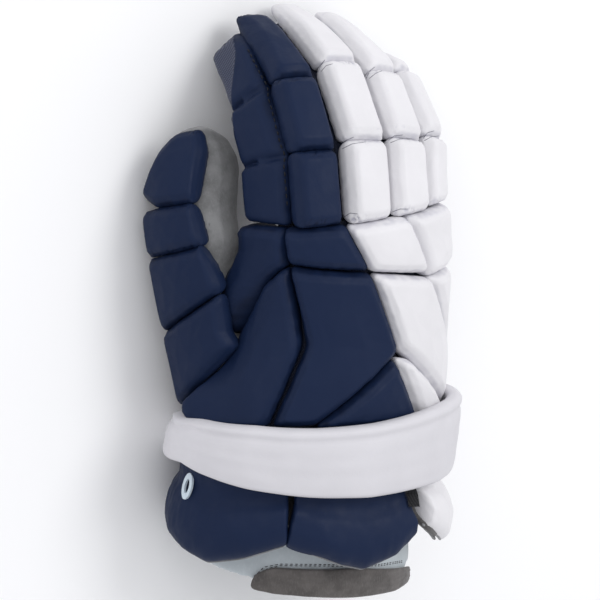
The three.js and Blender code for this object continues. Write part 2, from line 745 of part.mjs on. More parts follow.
addMesh("palm_patch", "suede", wrapPiece({
  edges: table("turn front rear", [[112, -0.02, -0.29], [180, -0.012, -0.300], [236, -0.03, -0.29]]),
  from: 122, to: 210, steps: 9, seat: strip_seat, shrink: 0.94,
  profile: table("across lift", [
    [0, 0], [0.25, patch_dome / 2], [0.5, patch_dome], [0.75, patch_dome / 2], [1, 0],
    [1, patch_thick], [0.75, patch_thick + patch_dome / 2], [0.5, patch_thick + patch_dome],
    [0.25, patch_thick + patch_dome / 2], [0, patch_thick],
  ]),
}));

// A lace eyelet on the outer roll.
const eyelet_wide = 7.2;
const eyelet_tall = 14.8;
const eyelet_rim = 3.4;
const eyelet_thick = 1.4;
const eyelet_lifts = [-1.0, 0.9, 3.2];
const eyelet_shape = new THREE.Shape();
eyelet_shape.absellipse(0, 0, eyelet_wide / 2, eyelet_tall / 2, 0, Math.PI * 2);
const eyelet_hole = new THREE.Path();
const hole_wide = eyelet_wide - 1.12 * eyelet_rim;
const hole_tall = eyelet_tall - 2 * eyelet_rim;
eyelet_hole.absellipse(0, 0, hole_wide / 2, hole_tall / 2, 0, Math.PI * 2, true);
eyelet_shape.holes.push(eyelet_hole);
const eyelet = addMesh("eyelet", "ring", new THREE.ExtrudeGeometry(eyelet_shape, {
  depth: eyelet_thick,
  bevelEnabled: false,
  curveSegments: 9,
}));
const eyelet_along = [-0.394, -0.412, -0.430];
const [eyelet_front, eyelet_middle, eyelet_rear] = eyelet_along.map((along, i) => (
  formPoint(-88, along * glove_length, band_low + eyelet_lifts[i])
));
const eyelet_side = formPoint(-84, eyelet_along[1] * glove_length, band_low + eyelet_lifts[1]);
const eyelet_long = eyelet_front.clone().sub(eyelet_rear).normalize();
const eyelet_out = eyelet_side.clone().sub(eyelet_middle).cross(eyelet_long).normalize();
eyelet.quaternion.setFromRotationMatrix(new THREE.Matrix4().makeBasis(
  eyelet_long.clone().cross(eyelet_out),
  eyelet_long,
  eyelet_out,
));
eyelet.position.copy(eyelet_middle);

// Resting place. The ground touches the lowest fingertip and the two ends of the cuff, found
// again after each turn, and the contacts are pressed flat by a small depth.
const press = 0.9;
const resting = new THREE.Group();
resting.add(hand);

function eachVertex(visit) {
  resting.updateMatrixWorld(true);
  const point = new THREE.Vector3();
  resting.traverse((mesh) => {
    if (!mesh.isMesh) {
      return;
    }
    const positions = mesh.geometry.attributes.position;
    for (let i = 0; i < positions.count; i += 1) {
      point.fromBufferAttribute(positions, i).applyMatrix4(mesh.matrixWorld);
      visit(point, mesh);
    }
  });
}
let floor = 0;
for (let round = 0; round < 7; round += 1) {
  const lowest = {};
  eachVertex((point) => {
    const local = hand.worldToLocal(point.clone());
    const fingers = local.y > 0.06 * glove_length && local.x > -0.36 * hand_width;
    const cuff = local.y < -0.24 * glove_length;
    const place = fingers ? "tips" : cuff && (local.x < 0 ? "radial" : "ulnar");
    if (place && (!lowest[place] || point.z < lowest[place].z)) {
      lowest[place] = point.clone();
    }
  });
  const plane = new THREE.Plane().setFromCoplanarPoints(lowest.tips, lowest.radial, lowest.ulnar);
  const normal = plane.normal.z < 0 ? plane.normal.clone().negate() : plane.normal.clone();
  const turn = new THREE.Quaternion().setFromUnitVectors(normal, new THREE.Vector3(0, 0, 1));
  floor = Math.min(lowest.tips.z, lowest.radial.z, lowest.ulnar.z);
  hand.quaternion.premultiply(turn);
}
hand.position.z = -floor - press;
resting.updateMatrixWorld(true);
const ground_wide = 6 * glove_length;
const ground = new THREE.BoxGeometry(ground_wide, ground_wide, glove_length);
ground.translate(0, 0, -glove_length / 2);
const ground_solid = solid(ground);
resting.traverse((mesh) => {
  if (!mesh.isMesh) {
    return;
  }
  const placed = mesh.geometry.clone().applyMatrix4(mesh.matrixWorld);
  placed.computeBoundingBox();
  if (placed.boundingBox.min.z < 0) {
    const cut = fromSolid(solid(placed).subtract(ground_solid));
    mesh.geometry = cut.applyMatrix4(mesh.matrixWorld.clone().invert());
  }
});

// The origin is under the middle of the glove.
const size = new THREE.Box3().setFromObject(resting, true);
const middle = size.getCenter(new THREE.Vector3());
resting.position.set(-middle.x, -middle.y, -size.min.z);
resting.updateMatrixWorld(true);

const glove = new THREE.Group();
glove.add(resting);
glove.updateMatrixWorld(true);
export default glove;
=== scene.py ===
# %% [markdown]
# A lacrosse glove, lying palm down
# This lesson dresses the solid model of a right-hand lacrosse glove in padded leather, suede,
# open mesh and stitches, and lights it. The solids keep their size and place. Each visible
# piece made here stands for one or more of them and follows their shape.
# Metres, +Z up, +Y from the cuff toward the fingertips, the thumb on the -X side.

# %% Libraries and the frame
import json
import math

import bmesh
import bpy
import numpy as np
from mathutils import Euler, Matrix, Vector, noise
from mathutils.bvhtree import BVHTree


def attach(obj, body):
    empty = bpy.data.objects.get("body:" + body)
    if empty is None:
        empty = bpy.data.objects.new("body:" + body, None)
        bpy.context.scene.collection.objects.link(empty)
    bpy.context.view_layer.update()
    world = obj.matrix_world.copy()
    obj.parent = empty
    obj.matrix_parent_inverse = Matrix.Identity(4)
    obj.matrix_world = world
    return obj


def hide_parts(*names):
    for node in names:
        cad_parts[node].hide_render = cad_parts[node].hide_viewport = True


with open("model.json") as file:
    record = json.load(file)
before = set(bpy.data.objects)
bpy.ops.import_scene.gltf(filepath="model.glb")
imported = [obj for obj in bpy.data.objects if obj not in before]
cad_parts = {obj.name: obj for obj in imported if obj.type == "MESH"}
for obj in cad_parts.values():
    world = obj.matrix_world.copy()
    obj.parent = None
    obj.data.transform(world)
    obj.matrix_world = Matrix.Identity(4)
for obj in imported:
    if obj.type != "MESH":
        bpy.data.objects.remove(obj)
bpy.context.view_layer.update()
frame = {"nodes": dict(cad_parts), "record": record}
nodes = frame["nodes"]
print("solids in the frame:", len(nodes))

# %% [markdown]
# The form of the hand
# On the real glove the band, the rolls and the strips are sewn round one padded form. Each
# could be modelled by eye, but then they wouldn't lie on one another. So one table of
# sections describes the form, the same as in the solids, and every wrapped piece takes its
# points from it. In a row, along is a share of the glove's length, and the rest are shares
# of the hand's width: side shift, sink, half widths to the thumb's and to the outer side,
# and depths to the back and to the palm.

# %% The form of the hand
GLOVE = 0.330
HAND = 0.100
FORM = np.array([
    (0.030, 0.00, -0.06, 0.49, 0.49, 0.195, 0.15),
    (-0.085, 0.00, -0.06, 0.51, 0.50, 0.22, 0.18),
    (-0.182, -0.04, -0.10, 0.56, 0.53, 0.28, 0.22),
    (-0.273, -0.10, -0.15, 0.66, 0.61, 0.35, 0.28),
    (-0.342, -0.15, -0.20, 0.70, 0.67, 0.39, 0.32),
    (-0.455, -0.18, -0.22, 0.67, 0.66, 0.41, 0.33),
    (-0.660, -0.20, -0.24, 0.66, 0.66, 0.43, 0.34),
])[::-1]
print("sections of the form:", len(FORM))

# %% [markdown]
# How the hand lies
# The glove rests on a fingertip and on both sides of its cuff, a little tilted. An empty as a
# parent could turn every piece, but many points below are worked out one by one and need the
# same turn. So it is written once, as turns about x, y and z in degrees and a place, which
# together give the lie of the solids.

# %% How the hand lies
REST_TURN = (3.9188, -1.4141, -0.0715)
REST_PLACE = (0.016288, 0.046654, 0.073757)
RESTING = Euler([math.radians(angle) for angle in REST_TURN], "XYZ").to_matrix()
REST3 = np.array(RESTING)
REST_T = np.array(REST_PLACE)


def hand_point(x, y, z):
    """A point of the hand's own frame, where it lies on the ground."""
    return Vector(REST3 @ np.array([x, y, z]) + REST_T)


print("the hand's origin lies at:", np.round(REST_T, 4))

# %% [markdown]
# Between the sections
# The table has few rows, and straight lines between them would show as bends in the leather.
# A smooth curve through the rows gives the sizes at any place. It is the curve that the
# solids follow, so what is wrapped on the form lies on them.

# %% Between the sections
def section(along):
    """The form's sizes at a share of the length, on a curve through the table's rows."""
    t = FORM[:, 0]
    x = min(max(along, t[0]), t[-1])
    i1 = int(min(max(np.searchsorted(t, x, side="right"), 1), len(t) - 1))
    i0 = i1 - 1
    before = i0 - 1 if i0 > 0 else i1
    after = i1 + 1 if i1 + 1 < len(t) else i0
    half = (t[i1] - t[i0]) / 2
    wp = half / (t[i0] - t[before])
    wn = half / (t[after] - t[i1])
    p = (x - t[i0]) / (t[i1] - t[i0])
    p2 = p * p
    p3 = p2 * p
    sp = -wp * p3 + 2 * wp * p2 - wp * p
    s0 = (1 + wp) * p3 + (-1.5 - 2 * wp) * p2 + (-0.5 + wp) * p + 1
    s1 = (-1 - wn) * p3 + (1.5 + wn) * p2 + 0.5 * p
    sn = wn * p3 - wn * p2
    return sp * FORM[before, 1:] + s0 * FORM[i0, 1:] + s1 * FORM[i1, 1:] + sn * FORM[after, 1:]


def form_point(turn, along, lift):
    """A point on the resting form: turn in degrees, along as a share, lift in metres."""
    shift, sink, radial, ulnar, back, palm = section(along) * HAND
    a = math.radians(turn)
    s, c = math.sin(a), math.cos(a)
    local = np.array([
        shift + ((radial if s < 0 else ulnar) + lift) * s,
        along * GLOVE,
        sink + ((palm if c < 0 else back) + lift) * c,
    ])
    return REST3 @ local + REST_T


print("the middle of the back at the knuckles:", form_point(0, 0, 0).round(4))

# %% [markdown]
# Materials
# Each finish is a small tree of shader nodes. Pictures could give the same grain, but they
# blur close up and need a map of every surface. Noise and waves placed by the piece's own
# coordinates need neither. These helpers start a material, add a noise and mix two colours.

# %% Materials
def start_material(name, color, roughness):
    material = bpy.data.materials.new(name)
    material.use_nodes = True
    tree = material.node_tree
    shader = tree.nodes["Principled BSDF"]
    shader.inputs["Roughness"].default_value = roughness
    shader.inputs["Base Color"].default_value = (*color, 1)
    coords = tree.nodes.new("ShaderNodeTexCoord")
    return material, tree, shader, coords.outputs["Object"]


def add_noise(tree, vector, scale, detail=2.0, rough=0.5):
    node = tree.nodes.new("ShaderNodeTexNoise")
    node.inputs["Scale"].default_value = scale
    node.inputs["Detail"].default_value = detail
    node.inputs["Roughness"].default_value = rough
    tree.links.new(vector, node.inputs["Vector"])
    return node.outputs["Fac"]


def mix_color(tree, low, high, factor):
    node = tree.nodes.new("ShaderNodeMix")
    node.data_type = "RGBA"
    for socket, color in ((6, low), (7, high)):
        if isinstance(color, tuple):
            node.inputs[socket].default_value = (*color, 1)
        else:
            tree.links.new(color, node.inputs[socket])
    tree.links.new(factor, node.inputs[0])
    return node.outputs[2]


# %% [markdown]
# Values, bumps and folds
# Some more helpers: two change or join values, and a bump turns a height into light and shade. Real
# displacement would need far more faces for the same grain. The last one reads the painted shade that each
# mesh carries for its folds and for its sides turned in.

# %% Values, bumps and folds
def ramp(tree, value, low, high, out_low=0.0, out_high=1.0):
    node = tree.nodes.new("ShaderNodeMapRange")
    node.interpolation_type = "SMOOTHSTEP"
    for name, number in (("From Min", low), ("From Max", high), ("To Min", out_low), ("To Max", out_high)):
        node.inputs[name].default_value = number
    tree.links.new(value, node.inputs["Value"])
    return node.outputs["Result"]


def math_node(tree, operation, a, b=None):
    node = tree.nodes.new("ShaderNodeMath")
    node.operation = operation
    for i, value in enumerate((a, b)):
        if value is None:
            continue
        if isinstance(value, (int, float)):
            node.inputs[i].default_value = value
        else:
            tree.links.new(value, node.inputs[i])
    return node.outputs[0]


def add_bump(tree, shader, height, strength, distance, below=None):
    node = tree.nodes.new("ShaderNodeBump")
    node.inputs["Strength"].default_value = strength
    node.inputs["Distance"].default_value = distance
    tree.links.new(height, node.inputs["Height"])
    if below is not None:
        tree.links.new(below, node.inputs["Normal"])
    tree.links.new(node.outputs["Normal"], shader.inputs["Normal"])
    return node.outputs["Normal"]


def painted_shade_value(tree):
    # Reads the painted shade of folds and of sides turned in, kept on each vertex.
    node = tree.nodes.new("ShaderNodeAttribute")
    node.attribute_name = "painted_shade"
    return node.outputs["Fac"]


# %% [markdown]
# Synthetic leather
# The pads are covered in a smooth coated leather: a very fine grain, a soft sheen, slow changes of tone, and
# painted shade along its folds and on its sides turned in. The grain is a cell texture, since plain noise
# looks like dust. The painted shade comes from a value that each mesh carries, so that it lies exactly in
# its folds.

# %% Synthetic leather
def leather(name, color, dark, roughness, grain=0.16, gloss=0.3):
    """Smooth synthetic leather: fine grain, slow tone changes and painted shade in its creases."""
    material, tree, shader, at = start_material(name, color, roughness)
    slow = add_noise(tree, at, 38, 3)
    fine = tree.nodes.new("ShaderNodeTexVoronoi")
    fine.inputs["Scale"].default_value = 1300
    tree.links.new(at, fine.inputs["Vector"])
    base = mix_color(tree, tuple(c * 0.93 for c in color), tuple(min(1, c * 1.06) for c in color), slow)
    # Painted shade: the colour darkens toward the second colour by the mesh's painted shade value, in folds
    # and on sides turned in.
    shade = mix_color(tree, base, dark, painted_shade_value(tree))
    tree.links.new(shade, shader.inputs["Base Color"])
    uneven = add_noise(tree, at, 160, 3)
    rough = ramp(tree, uneven, 0.25, 0.75, roughness - 0.07, roughness + 0.07)
    tree.links.new(rough, shader.inputs["Roughness"])
    wavy = add_noise(tree, at, 120, 4, 0.6)
    first = add_bump(tree, shader, wavy, 0.25, 0.0009)
    add_bump(tree, shader, fine.outputs["Distance"], grain, 0.00012, first)
    shader.inputs["Specular IOR Level"].default_value = gloss
    return material


# %% [markdown]
# Open mesh
# The side of the first finger and the stalls are knitted mesh. Real holes would cost many
# faces and are smaller than a pixel, so two crossing waves draw the threads and raise them.

# %% Open mesh
def turned(tree, at, angle, scale):
    node = tree.nodes.new("ShaderNodeMapping")
    node.inputs["Rotation"].default_value = angle
    node.inputs["Scale"].default_value = scale
    tree.links.new(at, node.inputs["Vector"])
    return node.outputs["Vector"]


def threads(tree, at, angle, scale):
    """Parallel threads as a wave of bands."""
    wave = tree.nodes.new("ShaderNodeTexWave")
    wave.inputs["Scale"].default_value = scale
    wave.inputs["Distortion"].default_value = 0.25
    wave.inputs["Detail"].default_value = 1.0
    tree.links.new(turned(tree, at, angle, (1, 1, 1)), wave.inputs["Vector"])
    return wave.outputs["Fac"]


def mesh_cloth(name, color, thread):
    """Open knitted mesh: dark ground with pale slanting threads."""
    material, tree, shader, at = start_material(name, color, 0.85)
    one = threads(tree, at, (0.2, 0.3, math.radians(38)), 430)
    two = threads(tree, at, (0.2, -0.3, math.radians(-52)), 430)
    both = math_node(tree, "MULTIPLY", ramp(tree, one, 0.35, 0.8), ramp(tree, two, 0.25, 0.75))
    slow = add_noise(tree, at, 60, 3)
    ground = mix_color(tree, tuple(c * 0.75 for c in color), tuple(c * 1.25 for c in color), slow)
    shown = math_node(tree, "MULTIPLY", both, 0.6)
    tree.links.new(mix_color(tree, ground, thread, shown), shader.inputs["Base Color"])
    add_bump(tree, shader, math_node(tree, "ADD", one, two), 0.5, 0.0004)
    shader.inputs["Sheen Weight"].default_value = 0.15
    return material


# %% [markdown]
# Suede and brushed cloth
# Suede shows patches where its fibres were stroked one way or the other. Hair strands could
# do it, but at this size they only shimmer. A broad noise makes the patches, a stretched fine
# one the fibres, and a little sheen the pale rim.

# %% Suede and brushed cloth
def brushed(name, color, tint, scale=420, depth=0.72):
    """Suede or brushed cloth: short fibres, patches lying this way and that."""
    material, tree, shader, at = start_material(name, color, 0.95)
    patches = add_noise(tree, at, 70, 4, 0.6)
    fibres = add_noise(tree, turned(tree, at, (0.4, 0.2, 0.5), (1.0, 0.35, 1.0)), scale * 3, 3, 0.7)
    low = tuple(c * depth for c in color)
    high = tuple(min(1, c * (1.9 - depth)) for c in color)
    base = mix_color(tree, low, high, ramp(tree, patches, 0.3, 0.7))
    shade = mix_color(tree, base, tint, math_node(tree, "MULTIPLY", ramp(tree, fibres, 0.45, 0.75), 0.35))
    tree.links.new(shade, shader.inputs["Base Color"])
    add_bump(tree, shader, fibres, 0.45, 0.0003)
    shader.inputs["Sheen Weight"].default_value = 0.3
    shader.inputs["Specular IOR Level"].default_value = 0.2
    return material


# %% [markdown]
# Elastic, thread and plastic
# The straps are woven elastic with close ribs, the seams are twisted thread, and the small
# ring at the cuff is moulded plastic. All three are simple enough for a wave or a noise.

# %% Elastic, thread and plastic
def ribbed(name, color):
    """Woven elastic: close ribs across the strap."""
    material, tree, shader, at = start_material(name, color, 0.7)
    rib = threads(tree, at, (0, 0, 0), 260)
    weave = threads(tree, at, (0, 0, math.radians(90)), 420)
    tree.links.new(mix_color(tree, color, tuple(c * 3 for c in color), rib), shader.inputs["Base Color"])
    add_bump(tree, shader, math_node(tree, "ADD", rib, weave), 0.6, 0.0003)
    return material


def plain_thread(name, color, roughness=0.75):
    """Sewing thread: twisted strands."""
    material, tree, shader, at = start_material(name, color, roughness)
    twist = threads(tree, at, (0, 0, math.radians(35)), 700)
    tree.links.new(mix_color(tree, tuple(c * 0.7 for c in color), color, twist), shader.inputs["Base Color"])
    add_bump(tree, shader, twist, 0.4, 0.0001)
    return material


def moulded(name, color):
    """Moulded plastic with a faint orange peel."""
    material, tree, shader, at = start_material(name, color, 0.38)
    peel = add_noise(tree, at, 900, 2)
    slow = add_noise(tree, at, 200, 2)
    tree.links.new(mix_color(tree, tuple(c * 0.9 for c in color), color, slow), shader.inputs["Base Color"])
    add_bump(tree, shader, peel, 0.12, 0.0001)
    return material


# %% [markdown]
# The finishes
# The colours were matched to the photograph in this light: a deep navy with little gloss, and two whites,
# the band a shade duller than the pads. Some pieces of the frame name their finish themselves, so the
# finishes are kept under those names.

# %% The finishes
# The second colour of each leather is the painted shade of its folds and of its sides turned in; the white
# ones have a lilac cast.
NAVY = leather("navy_leather", (0.0075, 0.0165, 0.050), (0.002, 0.003, 0.010), 0.52, gloss=0.14)
WHITE = leather("white_leather", (0.755, 0.745, 0.765), (0.36, 0.36, 0.45), 0.52)
BAND = leather("band_leather", (0.665, 0.655, 0.685), (0.36, 0.36, 0.42), 0.60, 0.1, 0.2)
MESH = mesh_cloth("navy_mesh", (0.013, 0.018, 0.046), (0.16, 0.19, 0.29))
SUEDE = brushed("grey_suede", (0.23, 0.232, 0.235), (0.33, 0.33, 0.335))
LINER = brushed("pale_liner", (0.50, 0.55, 0.58), (0.60, 0.64, 0.66), 300, 0.92)
TAB = brushed("brown_suede", (0.105, 0.096, 0.092), (0.19, 0.18, 0.175))
ELASTIC = ribbed("black_elastic", (0.004, 0.004, 0.005))
RING = moulded("pale_ring", (0.62, 0.72, 0.80))
DARK_THREAD = plain_thread("dark_thread", (0.003, 0.004, 0.009))
GREY_THREAD = plain_thread("grey_thread", (0.10, 0.10, 0.11))
PIPING = brushed("piping", (0.20, 0.205, 0.215), (0.30, 0.30, 0.31))
MATERIALS = {
    "navy_leather": NAVY, "white_leather": WHITE, "band_leather": BAND, "navy_mesh": MESH,
    "grey_suede": SUEDE, "pale_liner": LINER, "brown_suede": TAB, "black_elastic": ELASTIC,
    "pale_ring": RING,
}
slot_of = {entry["node"]: entry["material_slot"] for entry in frame["record"]["subparts"]}
print("finishes:", ", ".join(MATERIALS))

# %% [markdown]
# From a solid to a soft piece
# A pad is foam under leather, so it has no sharp edge. Subdivision would need clean quads,
# and a cloth simulation of forty pieces would take minutes. A voxel remesh gives any solid an
# even, fine mesh, a few rounds of smoothing take off the edges, and what is left to add, such
# as folds, is a move of each vertex along its own direction.

# %% From a solid to a soft piece
def new_object(name, mesh, material, smooth=True):
    obj = bpy.data.objects.new(name, mesh)
    bpy.context.scene.collection.objects.link(obj)
    mesh.materials.clear()
    mesh.materials.append(material)
    mesh.polygons.foreach_set("use_smooth", [smooth] * len(mesh.polygons))
    return obj


def settle(obj):
    """Applies the modifiers that an object has."""
    graph = bpy.context.evaluated_depsgraph_get()
    mesh = bpy.data.meshes.new_from_object(obj.evaluated_get(graph))
    old = obj.data
    obj.modifiers.clear()
    obj.data = mesh
    bpy.data.meshes.remove(old)
    return mesh


def remeshed(name, voxel, rounds, factor=0.5, share=1.0):
    """A fine copy of a node's mesh with softened edges, and with a share of its faces kept."""
    source = nodes[name].data.copy()
    obj = bpy.data.objects.new("look_" + name, source)
    bpy.context.scene.collection.objects.link(obj)
    step = obj.modifiers.new("fine", "REMESH")
    step.mode = "VOXEL"
    step.voxel_size = voxel
    soft = obj.modifiers.new("soft", "SMOOTH")
    soft.factor = factor
    soft.iterations = rounds
    if share < 1:
        fewer = obj.modifiers.new("fewer", "DECIMATE")
        fewer.ratio = share
    settle(obj)
    return obj


def arrays(mesh):
    n = len(mesh.vertices)
    co = np.empty(n * 3)
    no = np.empty(n * 3)
    mesh.vertices.foreach_get("co", co)
    mesh.vertices.foreach_get("normal", no)
    return co.reshape(-1, 3), no.reshape(-1, 3)


def wobble(points, scale, seed):
    """Smooth noise in -1..1 at each point."""
    offset = Vector((seed * 1.7, seed * 3.1, seed * 0.9))
    return np.array([noise.noise(Vector(p) * scale + offset) for p in points])


def set_painted_shade(mesh, values):
    # The painted shade of folds and of sides turned in, from 0 to 1.
    layer = mesh.attributes.new("painted_shade", "FLOAT", "POINT")
    layer.data.foreach_set("value", np.clip(values, 0, 1))


# %% [markdown]
# Which side faces out
# A pad's crown faces away from the finger that it guards, and its folds lie along its sides.
# The mesh doesn't know which side that is. So each digit has a middle line, in millimetres in
# the hand's frame, and the way out at a point is the way from that line.

# %% Which side faces out
LINES = {
    "index": [(-35.8, 2.5, -2.9), (-33, 37, -10.8), (-29, 66, -31), (-22, 94, -73)],
    "middle": [(-9.3, 4, 1.6), (-5, 38.5, -8), (0, 70, -32), (1.4, 96, -82)],
    "ring": [(16.8, 0.5, 1), (23, 35, -11), (27, 62, -33), (24, 90.5, -78)],
    "pinky": [(38.2, -4.7, -7.7), (47, 31, -21), (51, 54, -42), (39, 65, -68)],
    "thumb": [(-70, -76, -30), (-73, -41, -38), (-75, -13, -44), (-73, 7, -50), (-60, 42, -64)],
}


def out_side(name, points, along=False):
    """Unit directions away from the middle of the digit or of the hand, at each point, and
    for a digit also the directions along it."""
    digit = name.split("_")[0]
    runs = None
    if digit in LINES and not name.startswith("index_base"):
        line = np.array([np.array(hand_point(*(c / 1000 for c in p))) for p in LINES[digit]])
        best = np.full(len(points), 1e9)
        near = np.zeros_like(points)
        runs = np.zeros_like(points)
        for a, b in zip(line[:-1], line[1:]):
            t = np.clip(((points - a) @ (b - a)) / ((b - a) @ (b - a)), 0, 1)
            q = a + t[:, None] * (b - a)
            far = np.linalg.norm(points - q, axis=1)
            take = far < best
            best[take] = far[take]
            near[take] = q[take]
            runs[take] = (b - a) / np.linalg.norm(b - a)
    else:
        local = (points - REST_T) @ REST3
        spine = np.array([section(v / GLOVE)[:2] * HAND for v in local[:, 1]])
        inner = np.clip(local[:, 0] - spine[:, 0], -0.03, 0.03)
        near = np.stack([spine[:, 0] + inner, local[:, 1], spine[:, 1]], 1) @ REST3.T + REST_T
    away = points - near
    away /= np.maximum(np.linalg.norm(away, axis=1, keepdims=True), 1e-9)
    return (away, runs) if along else away


# %% [markdown]
# The photograph's view
# Some outlines are easiest to read in the photograph. These values say how its camera looks
# at the hand: turned and raised by so many degrees, with one pixel standing for so many
# metres, and with the hand's origin at one place. A point in space can then be told by
# where it shows.

# %% The photograph's view
VIEW_TURN = 38
VIEW_RISE = 12
PIXEL = 0.000545
IMAGE_SIDE = 600
ORIGIN_X = 359
ORIGIN_Y = 222


def look(turn, rise):
    a, b = math.radians(turn), math.radians(rise)
    out = np.array([-math.sin(a) * math.cos(b), math.sin(b), math.cos(a) * math.cos(b)])
    up = np.array([0.0, 1.0, 0.0]) - out[1] * out
    up /= np.linalg.norm(up)
    return np.cross(up, out), up, out


right, up, out = look(VIEW_TURN, VIEW_RISE)
world_right, world_up, world_out = (REST3 @ v for v in (right, up, out))


def shown_at(points):
    """The pixels at which points of the resting glove show, seen from far off."""
    local = (points - REST_T) @ REST3
    return ORIGIN_X + local @ right / PIXEL, ORIGIN_Y - local @ up / PIXEL


def smooth_step(value, low, high):
    t = np.clip((value - low) / (high - low), 0, 1)
    return t * t * (3 - 2 * t)


first_tip = hand_point(*(c / 1000 for c in LINES["index"][-1]))
tip_x, tip_y = shown_at(np.array(first_tip))
print("the first finger's tip shows at pixel", round(float(tip_x)), round(float(tip_y)))

# %% [markdown]
# Dressing a piece
# Each piece takes its finish, goes with the glove's one body, and says which solids it stands for, so that
# those are hidden. Doing it by hand for each would be easy to forget.

# %% Dressing a piece
def dress(obj, name, slot, names=None):
    mesh = obj.data
    mesh.materials.clear()
    mesh.materials.append(MATERIALS[slot])
    mesh.polygons.foreach_set("use_smooth", [True] * len(mesh.polygons))
    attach(obj, "root")
    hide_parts(*(names or [name]))
    return obj


# %% [markdown]
# Padded pieces
# Each pad is foam in a stitched cover. The cover swells in the middle, sinks to the seams,
# puckers along its sides and gathers in short folds at the joints. All of that is one sum of
# smooth functions of where a vertex lies on the pad, which is quick and gives the same
# folds each time.

# %% Padded pieces
GATHER_REACH = 0.0055
GATHER_PITCH = 0.0042
GATHER_DEPTH = 0.0010
SWELL = 0.0002
BROAD_WAVE = 0.00045


def cover(obj, name, seed, grow, pucker=0.00030):
    """Moves a pad's covering out to its seams, puckers it and paints shade into its folds."""
    mesh = obj.data
    co, no = arrays(mesh)
    away, runs = out_side(name, co, True)
    top = np.clip((no * away).sum(1), -1, 1)
    crown = smooth_step(top, 0.75, 1.0)
    side = 1 - smooth_step(np.abs(top), 0.35, 0.9)
    folds = wobble(co, 230, seed)
    ridges = 1 - 2 * np.abs(wobble(co, 130, seed + 9))
    broad = wobble(co, 48, seed + 5)
    move = grow * side + SWELL * crown + BROAD_WAVE * broad * crown
    bevel = smooth_step(top, 0.2, 0.6) * (1 - smooth_step(top, 0.8, 0.98))
    move += pucker * (side * 0.5 + bevel * 0.4) * np.clip(0.7 * folds + 0.6 * ridges, -1, 1)
    if runs is not None:
        # Gathers at the joints: short folds that run across each pad's two ends.
        centre = co.mean(0)
        place = ((co - centre) * runs).sum(1)
        reach = np.abs(place).max()
        near_end = smooth_step(np.abs(place), reach - GATHER_REACH, reach - 0.001)
        sideways = ((co - centre) * np.cross(runs, away)).sum(1)
        phase = sideways / GATHER_PITCH + 2.2 * wobble(co, 160, seed + 2)
        gather = np.maximum(0, np.cos(2 * np.pi * phase)) ** 2 * (0.5 + wobble(co, 90, seed + 4))
        gathered = near_end * smooth_step(top, 0.15, 0.45) * np.clip(gather, 0, 1)
        move -= GATHER_DEPTH * gathered
    mesh.vertices.foreach_set("co", (co + no * move[:, None]).ravel())
    mesh.update()
    # Painted shade: the sides turned in toward the digit, the deep folds and the gathers get a darker value
    # that the leather mixes in.
    turned_in_shade = np.clip(-top, 0, 1)
    fold_shade_amount = np.clip(side - 0.3, 0, 1) * np.clip(0.6 - folds, 0, 1) * 0.55
    if runs is not None:
        fold_shade_amount = np.maximum(fold_shade_amount, 0.8 * gathered)
    set_painted_shade(mesh, np.clip(fold_shade_amount + turned_in_shade, 0, 1))
    return obj


def pad(name, voxel=0.0009, rounds=2, grow=0.00062, seed=1):
    obj = remeshed(name, voxel, rounds)
    cover(obj, name, seed, grow)
    return dress(obj, name, slot_of[name])


# %% [markdown]
# One piece for each pad
# The pads' names tell what they are, so one loop makes them all. Each has its own seed, so
# that no two have the same folds.

# %% One piece for each pad
PADS = [name for name in nodes if name.endswith("_pad")]
PADS += [name for name in nodes if name.startswith(("knuckle_", "back_", "white_")) or name == "index_base"]
pads = {name: pad(name, seed=i + 1) for i, name in enumerate(sorted(PADS))}
print("pads:", len(pads), "with", sum(len(obj.data.polygons) for obj in pads.values()), "faces")

# %% [markdown]
# Pieces that lean over their neighbours
# Some pads are cut wider than their foam and lean over what is beside them: the first
# finger's base over the root of the thumb, for one. Sculpting would do, but wouldn't come
# out the same again. Here a row gives, for a height in the view, how far the piece's edge
# moves, both in pixels, and what lies between a middle line and that edge moves by a growing
# share. Each entry names the piece, the edge, the middle and its rows.

# %% Pieces that lean over their neighbours
def lean_over(obj, edge, middle, rows):
    mesh = obj.data
    rows = np.array(rows)
    co, no = arrays(mesh)
    px, py = shown_at(co)
    order = np.argsort(rows[:, 0])
    far = np.interp(py, rows[order, 0], rows[order, 1]) * PIXEL
    way = 1 if edge > middle else -1
    weight = smooth_step((px - middle) * way, 0, abs(edge - middle))
    co = co + np.outer(far * weight * way, world_right)
    mesh.vertices.foreach_set("co", co.ravel())
    mesh.update()


PAD_LEANS = [
    ("index_distal_pad", 246, 275, [(10, 7), (25, 4), (45, 7), (62, 4), (80, 0)]),
    ("index_base", 240, 266, [
        (225, 6), (240, 24), (255, 35), (269, 43), (283, 42), (303, 28), (325, 17), (340, 8), (352, 0),
    ]),
    ("index_base", 250, 282, [(215, 14), (228, 13), (238, 5), (250, 0)]),
    ("back_radial", 204, 236, [
        (325, 0), (345, 8), (370, 19), (385, 24), (400, 26), (410, 20), (422, 8), (432, 0),
    ]),
    ("thumb_distal_pad", 160, 195, [(126, 12), (136, 12), (160, 7), (190, 3), (205, 0)]),
    ("thumb_distal_pad", 212, 186, [(126, -5), (140, -7), (152, -8), (200, -10)]),
    ("thumb_middle_pad", 212, 180, [(198, -11), (240, -6)]),
    ("thumb_proximal_pad", 226, 190, [(238, -17), (250, -14), (262, -8), (275, -4), (288, -2)]),
    ("thumb_base_pad", 232, 190, [(285, -3), (330, -6), (345, 1), (370, 3), (400, 3)]),
]
for name, edge, middle, rows in PAD_LEANS:
    lean_over(pads[name], edge, middle, rows)
print("leaning edges:", len(PAD_LEANS))

